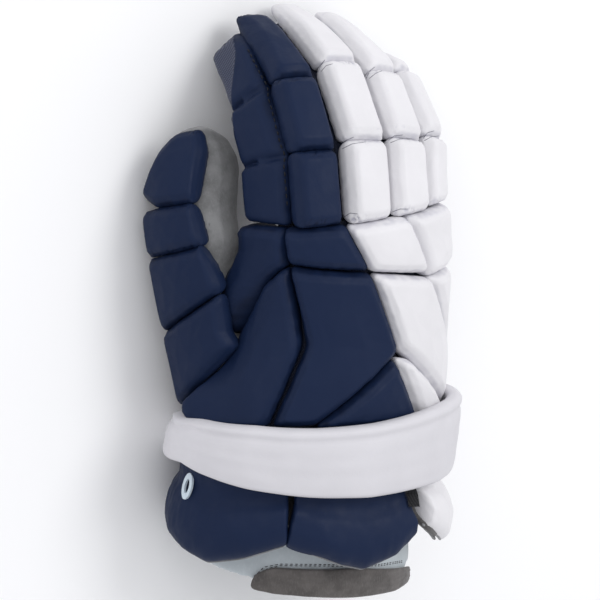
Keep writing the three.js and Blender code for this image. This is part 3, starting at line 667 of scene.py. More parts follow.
# %% [markdown]
# The strip on the first finger's side
# It is one leather piece over three pads, with two nips in its outer edge, sewn along the
# finger's pads, and open mesh lies beyond it. Three separate pads would show gaps that the
# real strip hasn't. So hulls bridge the pads' near ends, one remesh joins all of it, and
# the faces beyond a slanting line in the view take the mesh's finish.

# %% The strip on the first finger's side
SIDE_STRIP = ["index_side_pad_1", "index_side_pad_2", "index_side_pad_3"]
# The way that the strip faces in the hand's frame, and the reach and depth of a bridge.
STRIP_FACING = (0.469, 0.45, 0.74)
STRIP_JOIN = 0.0042
STRIP_BRIDGE_DEPTH = 0.0015
# Where the open mesh begins and ends in the view, and where the strip leans out, in pixels.
STRIP_EDGE_X = 228
STRIP_EDGE_Y = 40
STRIP_EDGE_SLOPE = 0.075
STRIP_MESH_END = 158
STRIP_LEAN_EDGE = 282
STRIP_LEAN_MIDDLE = 262
STRIP_WIDER = [(40, 15), (80, 15), (120, 11), (160, 6), (200, 3), (225, 2)]
STRIP_EDGE_BLUR = (-0.4, 1.2)
STRIP_TURNS_AWAY = (0.15, 0.35)
STRIP_VOXEL = 0.00095
STRIP_ROUNDS = 7
STRIP_SEED = 40
STRIP_GROW = 0.00036
STRIP_PUCKER = 0.0004
MESH_SINK = 0.0007


def bridge(bm, first, second, reach, toward):
    """A hull between the near ends of two pads, on the side that a direction names."""
    a = [Vector(v.co) for v in nodes[first].data.vertices]
    b = [Vector(v.co) for v in nodes[second].data.vertices]
    near_a = [p for p in a if min((p - q).length for q in b) < reach]
    near_b = [q for q in b if min((p - q).length for p in a) < reach]
    points = near_a + near_b
    middle = sum((p.dot(toward) for p in points)) / len(points)
    kept = [p for p in points if p.dot(toward) > middle - STRIP_BRIDGE_DEPTH]
    verts = [bm.verts.new(p) for p in kept]
    hull = bmesh.ops.convex_hull(bm, input=verts)
    spare = hull["geom_interior"] + hull["geom_unused"]
    loose = [part for part in spare if isinstance(part, bmesh.types.BMVert)]
    bmesh.ops.delete(bm, geom=list(set(loose)), context="VERTS")


# %% [markdown]
# The strip's top end
# The strip runs on under the tip pad, further than its solids do. Another hull would show a
# seam there. So its top end is stretched: what lies above a height in the view moves up and
# inward, by a growing share. All of these values are pixels.

# %% The strip's top end
STRIP_RISE = 12
STRIP_INWARD = 9
STRIP_REACH_FROM = 100
STRIP_REACH_FULL = 56
STRIP_REACH_LEFT = 218
STRIP_REACH_RIGHT = 236


def reach_up(obj):
    mesh = obj.data
    co, no = arrays(mesh)
    px, py = shown_at(co)
    share = 1 - smooth_step(py, STRIP_REACH_FULL, STRIP_REACH_FROM)
    inward = share * smooth_step(px, STRIP_REACH_LEFT, STRIP_REACH_RIGHT)
    co += np.outer(STRIP_RISE * PIXEL * inward, world_up)
    co += np.outer(STRIP_INWARD * PIXEL * inward, world_right)
    mesh.vertices.foreach_set("co", co.ravel())
    mesh.update()


# %% [markdown]
# Joining and covering the strip
# The pads and their bridges go into one mesh, which is remeshed, softened and covered as the
# other pads are. A second object for the open mesh would leave a gap or lie double. So the
# faces beyond the line sink a little, as cloth does beside foam, and take the other finish.

# %% Joining and covering the strip
def side_strip():
    bm = bmesh.new()
    for name in SIDE_STRIP:
        bm.from_mesh(nodes[name].data)
    toward = Vector(REST3 @ np.array(STRIP_FACING)).normalized()
    bridge(bm, SIDE_STRIP[0], SIDE_STRIP[1], STRIP_JOIN, toward)
    bridge(bm, SIDE_STRIP[1], SIDE_STRIP[2], STRIP_JOIN, toward)
    mesh = bpy.data.meshes.new("look_index_side_strip")
    bm.to_mesh(mesh)
    bm.free()
    obj = bpy.data.objects.new("look_index_side_strip", mesh)
    bpy.context.scene.collection.objects.link(obj)
    first = obj.modifiers.new("join", "REMESH")
    first.voxel_size = STRIP_VOXEL
    soft = obj.modifiers.new("soft", "SMOOTH")
    soft.factor = 0.5
    soft.iterations = STRIP_ROUNDS
    mesh = settle(obj)
    cover(obj, "index", STRIP_SEED, STRIP_GROW, pucker=STRIP_PUCKER)
    co, no = arrays(mesh)
    px, py = shown_at(co)
    edge = STRIP_EDGE_X + (py - STRIP_EDGE_Y) * STRIP_EDGE_SLOPE
    facing = no @ world_out
    cloth_side = np.maximum(
        smooth_step(edge - px, *STRIP_EDGE_BLUR) * (py < STRIP_MESH_END),
        smooth_step(-facing, *STRIP_TURNS_AWAY),
    )
    co -= no * (MESH_SINK * cloth_side)[:, None]
    mesh.vertices.foreach_set("co", co.ravel())
    mesh.update()
    lean_over(obj, STRIP_LEAN_EDGE, STRIP_LEAN_MIDDLE, STRIP_WIDER)
    reach_up(obj)
    dress(obj, "index", "navy_leather", names=SIDE_STRIP)
    mesh.materials.append(MESH)
    n = len(mesh.polygons)
    picks = np.zeros(n, dtype=np.int32)
    for i, face in enumerate(mesh.polygons):
        if cloth_side[list(face.vertices)].mean() > 0.5:
            picks[i] = 1
    mesh.polygons.foreach_set("material_index", picks)
    mesh.update()
    return obj


pads["side_strip"] = side_strip()
print("side strip:", len(pads["side_strip"].data.polygons), "faces")

# %% [markdown]
# Pieces that wrap round the wrist
# The band, the rolls and the flap are stuffed tubes of leather that go round the cuff. A
# curve with a bevel gives one section all along, but these change in width as they go. So a
# closed section is carried from turn to turn round the form, its front and rear edges come
# from a short table, and its two ends are rounded.

# %% Pieces that wrap round the wrist
def closed_curve(points, count):
    """Points evenly spaced on a smooth closed curve through a short list."""
    p = np.array(points, float)
    n = len(p)
    fine = []
    for i in range(n):
        p0, p1, p2, p3 = p[i - 1], p[i], p[(i + 1) % n], p[(i + 2) % n]
        for t in np.linspace(0, 1, 14, endpoint=False):
            fine.append(0.5 * (
                2 * p1 + (p2 - p0) * t + (2 * p0 - 5 * p1 + 4 * p2 - p3) * t * t
                + (3 * p1 - p0 - 3 * p2 + p3) * t ** 3
            ))
    fine = np.array(fine)
    # A share across counts as 5 cm, so that the steps are about even on the surface.
    scale = np.array([0.05, 1.0])
    closed = np.vstack([fine, fine[:1]])
    steps = np.linalg.norm(np.diff(closed * scale, axis=0), axis=1)
    at = np.concatenate([[0], np.cumsum(steps)])
    want = np.linspace(0, at[-1], count, endpoint=False)
    return np.stack([np.interp(want, at, closed[:, k]) for k in range(2)], 1)


# %% [markdown]
# Carrying the section round
# The section's points are shares from the front edge to the rear one, and heights above the
# form. A modifier that bends a straight tube would stretch it where the form is wider. Here
# each ring is put on the form itself, with more rings where the ends close.

# %% Carrying the section round
def wrap(name, edges, start, end, profile, steps, count=56, round_end=2.2, detail=None):
    """A body round the form. Edges are rows of turn, front and rear; the profile is pairs of
    across (0 front, 1 rear) and lift; round_end is the reach of the rounded ends, degrees."""
    edges = np.array(edges, float)
    section_points = closed_curve(profile, count)
    mean_lift = section_points[:, 1].mean()
    turns = list(np.linspace(start, end, steps + 1))
    # More rings where the ends are rounded.
    extra = [round_end * (1 - math.cos(a)) for a in np.linspace(0.25, 1.45, 6)]
    turns += [start + e for e in extra] + [end - e for e in extra]
    turns = sorted(set(round(t, 4) for t in turns))
    bm = bmesh.new()
    rings = []
    for t in turns:
        near = min(t - start, end - t) / round_end
        scale = math.sqrt(max(0.0, 1 - (1 - near) ** 2)) if near < 1 else 1.0
        scale = 0.12 + 0.88 * scale
        front = np.interp(t, edges[:, 0], edges[:, 1])
        rear = np.interp(t, edges[:, 0], edges[:, 2])
        ring = []
        for j, (across, lift) in enumerate(section_points):
            a = 0.5 + (across - 0.5) * scale
            h = mean_lift + (lift - mean_lift) * scale
            if detail is not None:
                h += detail(t, across, lift) * scale
            ring.append(bm.verts.new(form_point(t, front + (rear - front) * a, h)))
        rings.append(ring)
    for one, two in zip(rings[:-1], rings[1:]):
        for j in range(count):
            k = (j + 1) % count
            bm.faces.new((one[j], one[k], two[k], two[j]))
    bm.faces.new(list(reversed(rings[0])))
    bm.faces.new(rings[-1])
    bmesh.ops.recalc_face_normals(bm, faces=bm.faces)
    mesh = bpy.data.meshes.new("look_" + name)
    bm.to_mesh(mesh)
    bm.free()
    obj = bpy.data.objects.new("look_" + name, mesh)
    bpy.context.scene.collection.objects.link(obj)
    set_painted_shade(mesh, np.zeros(len(mesh.vertices)))
    return obj


def soft_noise(t, across, seed, scale=1.0):
    return noise.noise(Vector((t * 0.11 * scale, across * 3.1 * scale, seed)))


# %% [markdown]
# The wrist band
# It is a wide flat tube of white leather with a raised lip and a sewn groove along its front
# edge and faint ridges from its winding. A bump in the finish could draw them, but they show
# against the light at the band's edge, so they are part of the shape. Its rows hold the
# turn, the front edge and the rear edge.

# %% The wrist band
BAND_LOW = 0.015
BAND_THICK = 0.0092
BAND_EDGES = [
    (-140, -0.316, -0.375), (-118, -0.298, -0.368), (-86, -0.290, -0.362), (-55, -0.291, -0.391),
    (-28, -0.300, -0.412), (-4, -0.305, -0.427), (19, -0.305, -0.434), (37, -0.306, -0.441),
    (58, -0.311, -0.443), (100, -0.318, -0.440), (140, -0.330, -0.430),
]


def band_detail(t, across, lift):
    if lift < BAND_LOW + 0.6 * BAND_THICK:
        return 0.0
    lip = 0.0007 * math.exp(-((across - 0.07) / 0.035) ** 2)
    groove = -0.0007 * math.exp(-((across - 0.16) / 0.03) ** 2)
    ridges = 0.00022 * math.sin(across * 26 + 0.8 * soft_noise(t, 0.2, 4))
    return lip + groove + ridges * (0.5 + 0.5 * soft_noise(t, across, 7)) + 0.0004 * soft_noise(t, across, 2)


BAND_DROP = 0.005
BAND_HALF_TURN = 140
BAND_STEPS = 180
BAND_ROUND_END = 2.5
SECTION_COUNT = 64
BAND_SECTION = [
    (0.06, BAND_LOW), (0.50, BAND_LOW), (0.94, BAND_LOW), (1.0, BAND_LOW + 0.45 * BAND_THICK),
    (0.955, BAND_LOW + 0.90 * BAND_THICK), (0.75, BAND_LOW + 0.985 * BAND_THICK),
    (0.5, BAND_LOW + BAND_THICK), (0.25, BAND_LOW + 0.985 * BAND_THICK),
    (0.045, BAND_LOW + 0.90 * BAND_THICK), (0.0, BAND_LOW + 0.45 * BAND_THICK),
]
lowered = [(t, front - BAND_DROP, rear - BAND_DROP) for t, front, rear in BAND_EDGES]
band = wrap(
    "wrist_band", lowered, -BAND_HALF_TURN, BAND_HALF_TURN, BAND_SECTION,
    BAND_STEPS, SECTION_COUNT, BAND_ROUND_END, band_detail,
)
dress(band, "wrist_band", "band_leather")
print("band:", len(band.data.polygons), "faces")

# %% [markdown]
# The rolls and the flap
# Below the band the cuff is guarded by two puffed navy rolls and a white flap that flares
# out. All three are one shape with other edges: thin where they are sewn on under the band,
# and fullest near their lower rim. Their ends are pinched, where the cover is closed.

# %% The rolls and the flap
ROLL_RISE = 0.0225


def roll_detail(seed, start, end):
    def detail(t, across, lift):
        if lift < 0.3 * ROLL_RISE:
            return 0.0
        ends = math.exp(-min(t - start, end - t) / 3.5)
        pinch = -0.0006 * ends * (0.6 + 0.6 * math.sin(across * 34 + seed))
        return 0.0007 * soft_noise(t, across, seed) + 0.0003 * soft_noise(t, across, seed + 3, 3) + pinch
    return detail


ROLL_EDGES = {
    "roll_radial": [
        (-140, -0.345, -0.490), (-114, -0.340, -0.506), (-86, -0.338, -0.524), (-74, -0.345, -0.533),
        (-55, -0.358, -0.520), (-37, -0.372, -0.498),
    ],
    "roll_middle": [
        (-34, -0.374, -0.498), (-27, -0.378, -0.515), (-15, -0.384, -0.540), (-4, -0.390, -0.557),
        (11, -0.394, -0.549), (24, -0.398, -0.520),
    ],
    "ulnar_flap": [
        (26, -0.402, -0.505), (38, -0.405, -0.535), (52, -0.408, -0.566), (58, -0.408, -0.562),
        (100, -0.400, -0.545), (140, -0.385, -0.500),
    ],
}
ROLL_SECTION = [
    (0.00, 0.0026), (0.45, 0.0029), (0.80, 0.0061), (0.98, 0.50 * ROLL_RISE), (1.00, 0.76 * ROLL_RISE),
    (0.92, 0.95 * ROLL_RISE), (0.76, ROLL_RISE), (0.56, 0.88 * ROLL_RISE),
    (0.38, 0.0141), (0.02, 0.0136),
]
FLAP_SECTION = [
    (0.00, 0.0050), (0.45, 0.0056), (0.82, 0.0110), (0.99, 0.76 * ROLL_RISE), (1.0, 0.90 * ROLL_RISE),
    (0.91, 1.07 * ROLL_RISE), (0.73, 1.08 * ROLL_RISE), (0.54, 0.90 * ROLL_RISE),
    (0.37, 0.0141), (0.02, 0.0136),
]
ROLL_ROUND_END = 1.8
# The first and the last turn, the section, the number of steps and the seed of the folds.
ROLLS = {
    "roll_radial": (-140, -36.0, ROLL_SECTION, 96, 11),
    "roll_middle": (-33.4, 22.4, ROLL_SECTION, 60, 17),
    "ulnar_flap": (29.0, 140, FLAP_SECTION, 96, 23),
}
for name, (start, end, section_list, steps, seed) in ROLLS.items():
    detail = roll_detail(seed, start, end)
    edges = ROLL_EDGES[name]
    roll = wrap(name, edges, start, end, section_list, steps, SECTION_COUNT, ROLL_ROUND_END, detail)
    pads[name] = dress(roll, name, slot_of[name])
    print(name, "turns from", start, "to", end)

# %% [markdown]
# Ends of the rolls
# The two rolls meet at their lower rims and leave a wedge of the strap in sight above, which
# a section at one turn can't give. Leaning their ends toward each other can.

# %% Ends of the rolls
ROLL_LEANS = [
    ("roll_middle", 300, 328, [(498, 0), (508, 2), (522, 6), (548, 13), (560, 13)]),
    ("roll_radial", 292, 270, [(498, 0), (520, 0), (548, 3), (560, 3)]),
    ("roll_middle", 420, 396, [(490, -4), (512, -4), (526, 0), (560, 0)]),
]
for name, edge, middle, rows in ROLL_LEANS:
    lean_over(pads[name], edge, middle, rows)
print("leaning ends:", len(ROLL_LEANS))

# %% [markdown]
# Thin pieces
# The stalls round the fingers, the palm's shell, the liner, the patch and the straps are
# single walls of cloth or suede. A simulated cloth would sag off the hand's form. So each is
# a softened copy of its solid with slow wrinkles, and both faces of a wall move together, so
# that it keeps its thickness. They are mostly hidden, so a share of their faces is dropped.

# %% Thin pieces
THIN_SHARE = 0.6


def cloth(name, voxel, rounds, wrinkle, seed):
    obj = remeshed(name, voxel, rounds, 0.4, THIN_SHARE)
    mesh = obj.data
    co, no = arrays(mesh)
    move = wrinkle * (wobble(co, 90, seed) + 0.5 * wobble(co, 210, seed + 3))
    # Both faces of a wall move together, so that it keeps its thickness.
    away = out_side(name, co)
    mesh.vertices.foreach_set("co", (co + away * move[:, None]).ravel())
    mesh.update()
    set_painted_shade(mesh, np.zeros(len(mesh.vertices)))
    return dress(obj, name, slot_of[name])


# The voxel's size, the rounds of smoothing and the height of the wrinkles.
THIN = {
    "index_stall": (0.0009, 6, 0.00025),
    "middle_stall": (0.0009, 6, 0.00025),
    "ring_stall": (0.0009, 6, 0.00025),
    "pinky_stall": (0.0009, 6, 0.00025),
    "thumb_stall": (0.0009, 8, 0.0003),
    "palm_shell": (0.0010, 4, 0.0002),
    "cuff_liner": (0.0014, 5, 0.0004),
    "flap_lining": (0.0009, 3, 0.0002),
    "palm_patch": (0.0009, 2, 0.0001),
    "strap_radial": (0.0008, 1, 0.0),
    "strap_ulnar": (0.0008, 1, 0.0),
}
FIRST_THIN_SEED = 80
thin = {}
for i, (name, (voxel, rounds, wrinkle)) in enumerate(THIN.items()):
    thin[name] = cloth(name, voxel, rounds, wrinkle, FIRST_THIN_SEED + i)
print("thin pieces:", len(thin), "with", sum(len(obj.data.polygons) for obj in thin.values()), "faces")

# %% [markdown]
# The thumb's suede
# The soft tube of the thumb is fuller than its pads: it bulges toward the first finger and
# stands up behind the tip. Growing all of it would push it through the pads. So only what
# shows at certain heights in the view moves, by a share that rises and falls smoothly.

# %% The thumb's suede
THUMB_BULGE = 0.0052
THUMB_TIP_RISE = 0.0058
THUMB_TIP_BACK = 0.0008
BULGE_STARTS = (128, 175)
BULGE_ENDS = (240, 275)
TIP_ENDS = (135, 172)
mesh = thin["thumb_stall"].data
co, no = arrays(mesh)
px, py = shown_at(co)
along = smooth_step(py, *BULGE_STARTS) * (1 - smooth_step(py, *BULGE_ENDS))
toward = smooth_step(no @ world_right, -0.1, 0.8)
co += np.outer(THUMB_BULGE * along * toward, world_right)
tip = 1 - smooth_step(py, *TIP_ENDS)
co += np.outer(THUMB_TIP_RISE * tip, world_up) - np.outer(THUMB_TIP_BACK * tip, world_right)
mesh.vertices.foreach_set("co", co.ravel())
mesh.update()
print("vertices that bulge:", int((along * toward > 0.5).sum()))

# %% [markdown]
# The suede strip and the ring
# A strip of brown suede is sewn over the liner's end, rounded at one end. It is wrapped round
# the form as the band is, but thin. The plastic ring on the roll keeps its solid's mesh,
# since that is already its true shape, and only takes its finish.

# %% The suede strip and the ring
TAB_EDGES = [
    (-56, -0.578, -0.584), (-54.5, -0.568, -0.588), (-52, -0.561, -0.590),
    (-48, -0.556, -0.592), (-43, -0.5525, -0.596),
    (-34, -0.556, -0.600), (0, -0.573, -0.622), (30, -0.599, -0.637),
    (46, -0.611, -0.638), (50, -0.614, -0.635),
]
TAB_TURNS = (-56, 50)
TAB_SECTION = [
    (0.02, 0.0006), (0.5, 0.0005), (0.98, 0.0006), (1.0, 0.0015),
    (0.98, 0.0024), (0.5, 0.0026), (0.02, 0.0024), (0.0, 0.0015),
]
TAB_STEPS = 110
TAB_COUNT = 48
TAB_ROUND_END = 1.2


def tab_detail(t, across, lift):
    return 0.0003 * soft_noise(t, across, 31, 2)


tab = wrap(
    "suede_tab", TAB_EDGES, *TAB_TURNS, TAB_SECTION,
    TAB_STEPS, TAB_COUNT, TAB_ROUND_END, tab_detail,
)
thin["suede_tab"] = dress(tab, "suede_tab", "brown_suede")
eyelet_look = nodes["eyelet"]
eyelet_look.data.materials.clear()
eyelet_look.data.materials.append(RING)
print("strip:", len(tab.data.polygons), "faces")

# %% [markdown]
# Cords along the edges
# Piping is a thin cord sewn into an edge. A curve with a bevel would do as well, but ends up
# as the same mesh. So a ring of points is carried along a path and closed at both ends.

# %% Cords along the edges
def tube(name, path, radius, material, sides=8):
    """A round cord sewn along an edge."""
    points = [Vector(p) for p in path]
    bm = bmesh.new()
    rings = []
    for i, point in enumerate(points):
        ahead = (points[min(i + 1, len(points) - 1)] - points[max(i - 1, 0)]).normalized()
        side = ahead.orthogonal().normalized() if i == 0 else (side - ahead * side.dot(ahead)).normalized()
        other = ahead.cross(side)
        shrink = 0.5 if i in (0, len(points) - 1) else 1.0
        rings.append([
            bm.verts.new(point + (side * math.cos(a) + other * math.sin(a)) * radius * shrink)
            for a in np.linspace(0, 2 * math.pi, sides, endpoint=False)
        ])
    for one, two in zip(rings[:-1], rings[1:]):
        for j in range(sides):
            k = (j + 1) % sides
            bm.faces.new((one[j], one[k], two[k], two[j]))
    bm.faces.new(list(reversed(rings[0])))
    bm.faces.new(rings[-1])
    bmesh.ops.recalc_face_normals(bm, faces=bm.faces)
    mesh = bpy.data.meshes.new(name)
    bm.to_mesh(mesh)
    bm.free()
    obj = new_object(name, mesh, material)
    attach(obj, "root")
    return obj


# %% [markdown]
# Stitches
# Each stitch is a short thread that rises from the leather and goes back in. A dashed line in
# the finish would look printed on. All the stitches of a seam are one mesh.

# %% Stitches
STITCH_RINGS = 5
STITCH_SIDES = 6


def stitches(name, points, length, gap, radius, material, slot, sink=0.0001):
    """Separate stitches along a line of points with normals."""
    base = np.array([p for p, n in points])
    normals = np.array([n for p, n in points])
    lengths = np.concatenate([[0], np.cumsum(np.linalg.norm(np.diff(base, axis=0), axis=1))])
    bm = bmesh.new()
    at = 0.0
    while at + length < lengths[-1]:
        ends = []
        for d in np.linspace(0, length, STITCH_RINGS):
            q = np.array([np.interp(at + d, lengths, base[:, k]) for k in range(3)])
            n = np.array([np.interp(at + d, lengths, normals[:, k]) for k in range(3)])
            n /= np.linalg.norm(n)
            arch = math.sin(math.pi * d / length)
            ends.append((q + n * (radius * 0.9 * arch - sink), radius * (0.45 + 0.55 * arch), n))
        forward = ends[-1][0] - ends[0][0]
        forward /= np.linalg.norm(forward)
        rings = []
        for q, r, n in ends:
            side = np.cross(forward, n)
            side /= np.linalg.norm(side)
            rings.append([
                bm.verts.new(q + (side * math.cos(a) + n * math.sin(a)) * r)
                for a in np.linspace(0, 2 * math.pi, STITCH_SIDES, endpoint=False)
            ])
        for one, two in zip(rings[:-1], rings[1:]):
            for j in range(STITCH_SIDES):
                k = (j + 1) % STITCH_SIDES
                bm.faces.new((one[j], one[k], two[k], two[j]))
        bm.faces.new(list(reversed(rings[0])))
        bm.faces.new(rings[-1])
        at += length + gap
    bmesh.ops.recalc_face_normals(bm, faces=bm.faces)
    mesh = bpy.data.meshes.new(name)
    bm.to_mesh(mesh)
    bm.free()
    obj = new_object(name, mesh, material)
    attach(obj, "root")
    return obj


# %% [markdown]
# Placing a seam where it shows
# A seam has to lie on the leather exactly, and its place is known from the view. So a ray is
# sent from the camera through a pixel, and where it meets the surface the seam goes down.

# %% Placing a seam where it shows
DISTANCE = 1.6
eye = Vector(REST3 @ (out * DISTANCE) + REST_T)


def surface_of(objects):
    trees = []
    for obj in objects:
        bm = bmesh.new()
        bm.from_mesh(obj.data)
        trees.append(BVHTree.FromBMesh(bm))
        bm.free()
    return trees


def on_surface(trees, px, py):
    """The point of a surface that shows at a pixel, and the surface's direction there."""
    local = right * (px - ORIGIN_X) * PIXEL + up * (ORIGIN_Y - py) * PIXEL
    direction = (Vector(REST3 @ local + REST_T) - eye).normalized()
    best = None
    for tree in trees:
        hit, normal, index, far = tree.ray_cast(eye, direction)
        if hit is not None and (best is None or far < best[2]):
            best = (np.array(hit), np.array(normal), far)
    return None if best is None else best[:2]


def seam_line(trees, corners, step=1.5):
    """A line on the surface through a few chosen pixels."""
    p = np.array(corners, float)
    lengths = np.concatenate([[0], np.cumsum(np.linalg.norm(np.diff(p, axis=0), axis=1))])
    want = np.linspace(0, lengths[-1], max(2, int(lengths[-1] / step)))
    line = [on_surface(trees, np.interp(d, lengths, p[:, 0]), np.interp(d, lengths, p[:, 1])) for d in want]
    return [hit for hit in line if hit is not None]


# %% [markdown]
# The seam along the side strip
# The strip is sewn down just inside its right edge. That edge is where the finger's pads
# begin to cover it, so at each height the ray looks for the first place, from the right,
# that shows the strip with no pad before it.

# %% The seam along the side strip
STRIP_TOP = 50
STRIP_BOTTOM = 216
STRIP_ROW_STEP = 6.0
STRIP_SCAN_FROM = 305
STRIP_SCAN_TO = 225
SEAM_INSET = 3.2
# The length of a stitch, the gap to the next one and the thread's radius.
STRIP_STITCH = (0.0025, 0.0014, 0.00045)
STRIP_STITCH_SINK = -0.0001
strip_tree = surface_of([pads["side_strip"]])
pad_trees = surface_of([pads["index_" + part + "_pad"] for part in ("proximal", "middle", "distal")])


def shows_first(trees, others, px, py):
    """Whether a pixel shows one surface with nothing of the others before it."""
    hit = on_surface(trees, px, py)
    if hit is None:
        return False
    other = on_surface(others, px, py)
    far = [np.linalg.norm(found[0] - np.array(eye)) for found in (hit, other) if found is not None]
    return other is None or far[0] < far[1]


edge_at = []
columns = np.arange(STRIP_SCAN_FROM, STRIP_SCAN_TO, -1.0)
for row in np.arange(STRIP_TOP, STRIP_BOTTOM, STRIP_ROW_STEP):
    hits = [column for column in columns if shows_first(strip_tree, pad_trees, column, row)]
    if hits:
        edge_at.append((hits[0] - SEAM_INSET, row))
line = seam_line(strip_tree, edge_at)
stitches("strip_stitches", line, *STRIP_STITCH, DARK_THREAD, "navy_leather", STRIP_STITCH_SINK)
print("seam of the side strip:", len(line), "points")

# %% [markdown]
# The double seam on the liner
# Two rows of small grey stitches follow the suede strip's upper edge and its rounded end.
# Rows set off from the strip's own rim would leave the liner where it curves. So their
# places are read in the view and cast onto the liner, and the second row is the first one
# moved a few pixels: across at the rounded end, and down along the edge.

# %% The double seam on the liner
SEAM_ROWS = (0, 3)
LINER_STITCH = (0.0019, 0.0009, 0.00028)
# The place in the view, and how much of a row's shift goes across and down there.
LINER_SEAM = [
    (250, 588, 1, 0), (254, 577, 1, 1), (264, 568, 1, 0.5),
    (280, 565, 0, 0.5), (340, 565.5, 0, 0.5), (380, 565, 0, 0.5), (404, 561, 0, 0.5),
]
liner_tree = surface_of([thin["cuff_liner"]])
for shift in SEAM_ROWS:
    places = [(x + shift * across, y + shift * down) for x, y, across, down in LINER_SEAM]
    line = seam_line(liner_tree, places)
    stitches("liner_stitches_" + str(shift), line, *LINER_STITCH, GREY_THREAD, "brown_suede")
    print("row of stitches on the liner:", len(line), "points")

# %% [markdown]
# The outer strap's end
# A short end of elastic shows between the roll and the flap. It is a small plate that spans
# the gap: each row holds its height and its two sides in the view, and it lies just before
# the nearest thing behind it.

# %% The outer strap's end
STRAP_ROWS = ((488, 404, 416), (494, 406, 418), (500, 408, 419), (507, 409, 420))
STRAP_THICK = 0.0012
STRAP_LIFT = 0.0006
STRAP_PROBES = 9
strap_under = surface_of([pads["ulnar_flap"], pads["roll_middle"], thin["cuff_liner"]])
camera_at = np.array(eye)
bm = bmesh.new()
rings = []
for row, first, last in STRAP_ROWS:
    hits = [on_surface(strap_under, column, row) for column in np.linspace(first, last, STRAP_PROBES)]
    near = min(np.linalg.norm(hit[0] - camera_at) for hit in hits if hit is not None) - STRAP_LIFT
    corners = []
    for column, lift in ((first, 0), (last, 0), (last, STRAP_THICK), (first, STRAP_THICK)):
        local = right * (column - ORIGIN_X) * PIXEL + up * (ORIGIN_Y - row) * PIXEL
        way = REST3 @ local + REST_T - camera_at
        corners.append(bm.verts.new(camera_at + way / np.linalg.norm(way) * (near - lift)))
    rings.append(corners)
for one, two in zip(rings[:-1], rings[1:]):
    for j in range(4):
        k = (j + 1) % 4
        bm.faces.new((one[j], one[k], two[k], two[j]))
bm.faces.new(list(reversed(rings[0])))
bm.faces.new(rings[-1])
bmesh.ops.recalc_face_normals(bm, faces=bm.faces)
mesh = bpy.data.meshes.new("strap_end")
bm.to_mesh(mesh)
bm.free()
strap_end = new_object("strap_end", mesh, ELASTIC, False)
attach(strap_end, "root")
print("strap end:", len(mesh.polygons), "faces")

# %% [markdown]
# Piping on the rolls
# A grey cord is sewn along the lower rim of the rolls and the flap. Their sections are known,
# so the rim is the point of each section that lies lowest in the view, smoothed a little.

# %% Piping on the rolls
RIM_ROUNDS = 3


def low_edge(name, section_list, start, end, count=110):
    """The points of a roll's sections that lie lowest in the view."""
    edges = np.array(ROLL_EDGES[name])
    fine = closed_curve(section_list, 80)
    path = []
    for t in np.linspace(start, end, count):
        front = np.interp(t, edges[:, 0], edges[:, 1])
        rear = np.interp(t, edges[:, 0], edges[:, 2])
        ring = np.array([form_point(t, front + (rear - front) * across, lift) for across, lift in fine])
        path.append(ring[np.argmin(ring @ world_up)])
    path = np.array(path)
    soft = path.copy()
    for _ in range(RIM_ROUNDS):
        soft[1:-1] = (soft[:-2] + 2 * soft[1:-1] + soft[2:]) / 4
    return soft


PIPING_RADIUS = 0.00075
PIPING_TURNS = {
    "roll_radial": (ROLL_SECTION, -136, -37.5),
    "roll_middle": (ROLL_SECTION, -32.0, 22.5),
    "ulnar_flap": (FLAP_SECTION, 28.0, 136),
}
for name, (section_list, start, end) in PIPING_TURNS.items():
    rim = low_edge(name, section_list, start, end)
    tube("piping_" + name, rim, PIPING_RADIUS, PIPING)
    print("piping on", name, "has", len(rim), "points")

# %% [markdown]
# The edge of the flap's lining
# Where the flap turns under, the dark edge of its lining shows. It is a thicker cord along
# the flap's left outline, which the rays find row by row.

# %% The edge of the flap's lining
LINING_EDGE_TOP = 499
LINING_EDGE_LOW = 537
LINING_INSET = 0.9
LINING_SCAN = np.arange(408, 450, 0.7)
LINING_ROW_STEP = 2.0
LINING_ROUNDS = 4
LINING_LIFT = 0.0011
LINING_RADIUS = 0.0017
LINING_DARK = brushed("lining_edge", (0.075, 0.072, 0.072), (0.13, 0.125, 0.125))
flap_tree = surface_of([pads["ulnar_flap"]])
lining_line = []
for row in np.arange(LINING_EDGE_TOP, LINING_EDGE_LOW, LINING_ROW_STEP):
    shown = [column for column in LINING_SCAN if on_surface(flap_tree, column, row)]
    if shown:
        lining_line.append(on_surface(flap_tree, shown[0] + LINING_INSET, row)[0])
lining_line = np.array(lining_line)
for _ in range(LINING_ROUNDS):
    lining_line[1:-1] = (lining_line[:-2] + 2 * lining_line[1:-1] + lining_line[2:]) / 4
lining_line += world_out * LINING_LIFT
tube("lining_edge", lining_line, LINING_RADIUS, LINING_DARK, 12)
print("edge of the lining:", len(lining_line), "points")

# %% [markdown]
# Painted shade of the folds at the finger joints
# On the white fingers, short folds fan out from the corners where two pads meet, and their shade shows as
# dark lines. They are finer than the pads' meshes, so each line of painted shade is a thin dark cord half
# sunk in the leather. The lists are pixels in the view.

# %% Painted shade of the folds at the finger joints
FOLD_RADIUS = 0.00020
FOLD_SINK = 0.00006
FOLD_STEP = 1.0
FOLD_SHADE_LINES = [
    ((318, 73), (321, 65), (325, 60)), ((321, 72), (326, 66), (333, 64)),
    ((366, 79), (370, 71), (375, 67)), ((369, 79), (375, 74), (382, 71)),
    ((340, 147), (345, 141), (354, 137)), ((342, 149), (352, 144), (366, 142)),
    ((388, 141), (394, 136), (403, 135)), ((390, 143), (400, 139), (412, 139)),
    ((423, 139), (427, 133), (434, 131)), ((424, 141), (431, 137), (439, 136)),
    ((343, 218), (350, 213), (358, 214)), ((392, 212), (400, 209), (408, 209)),
]
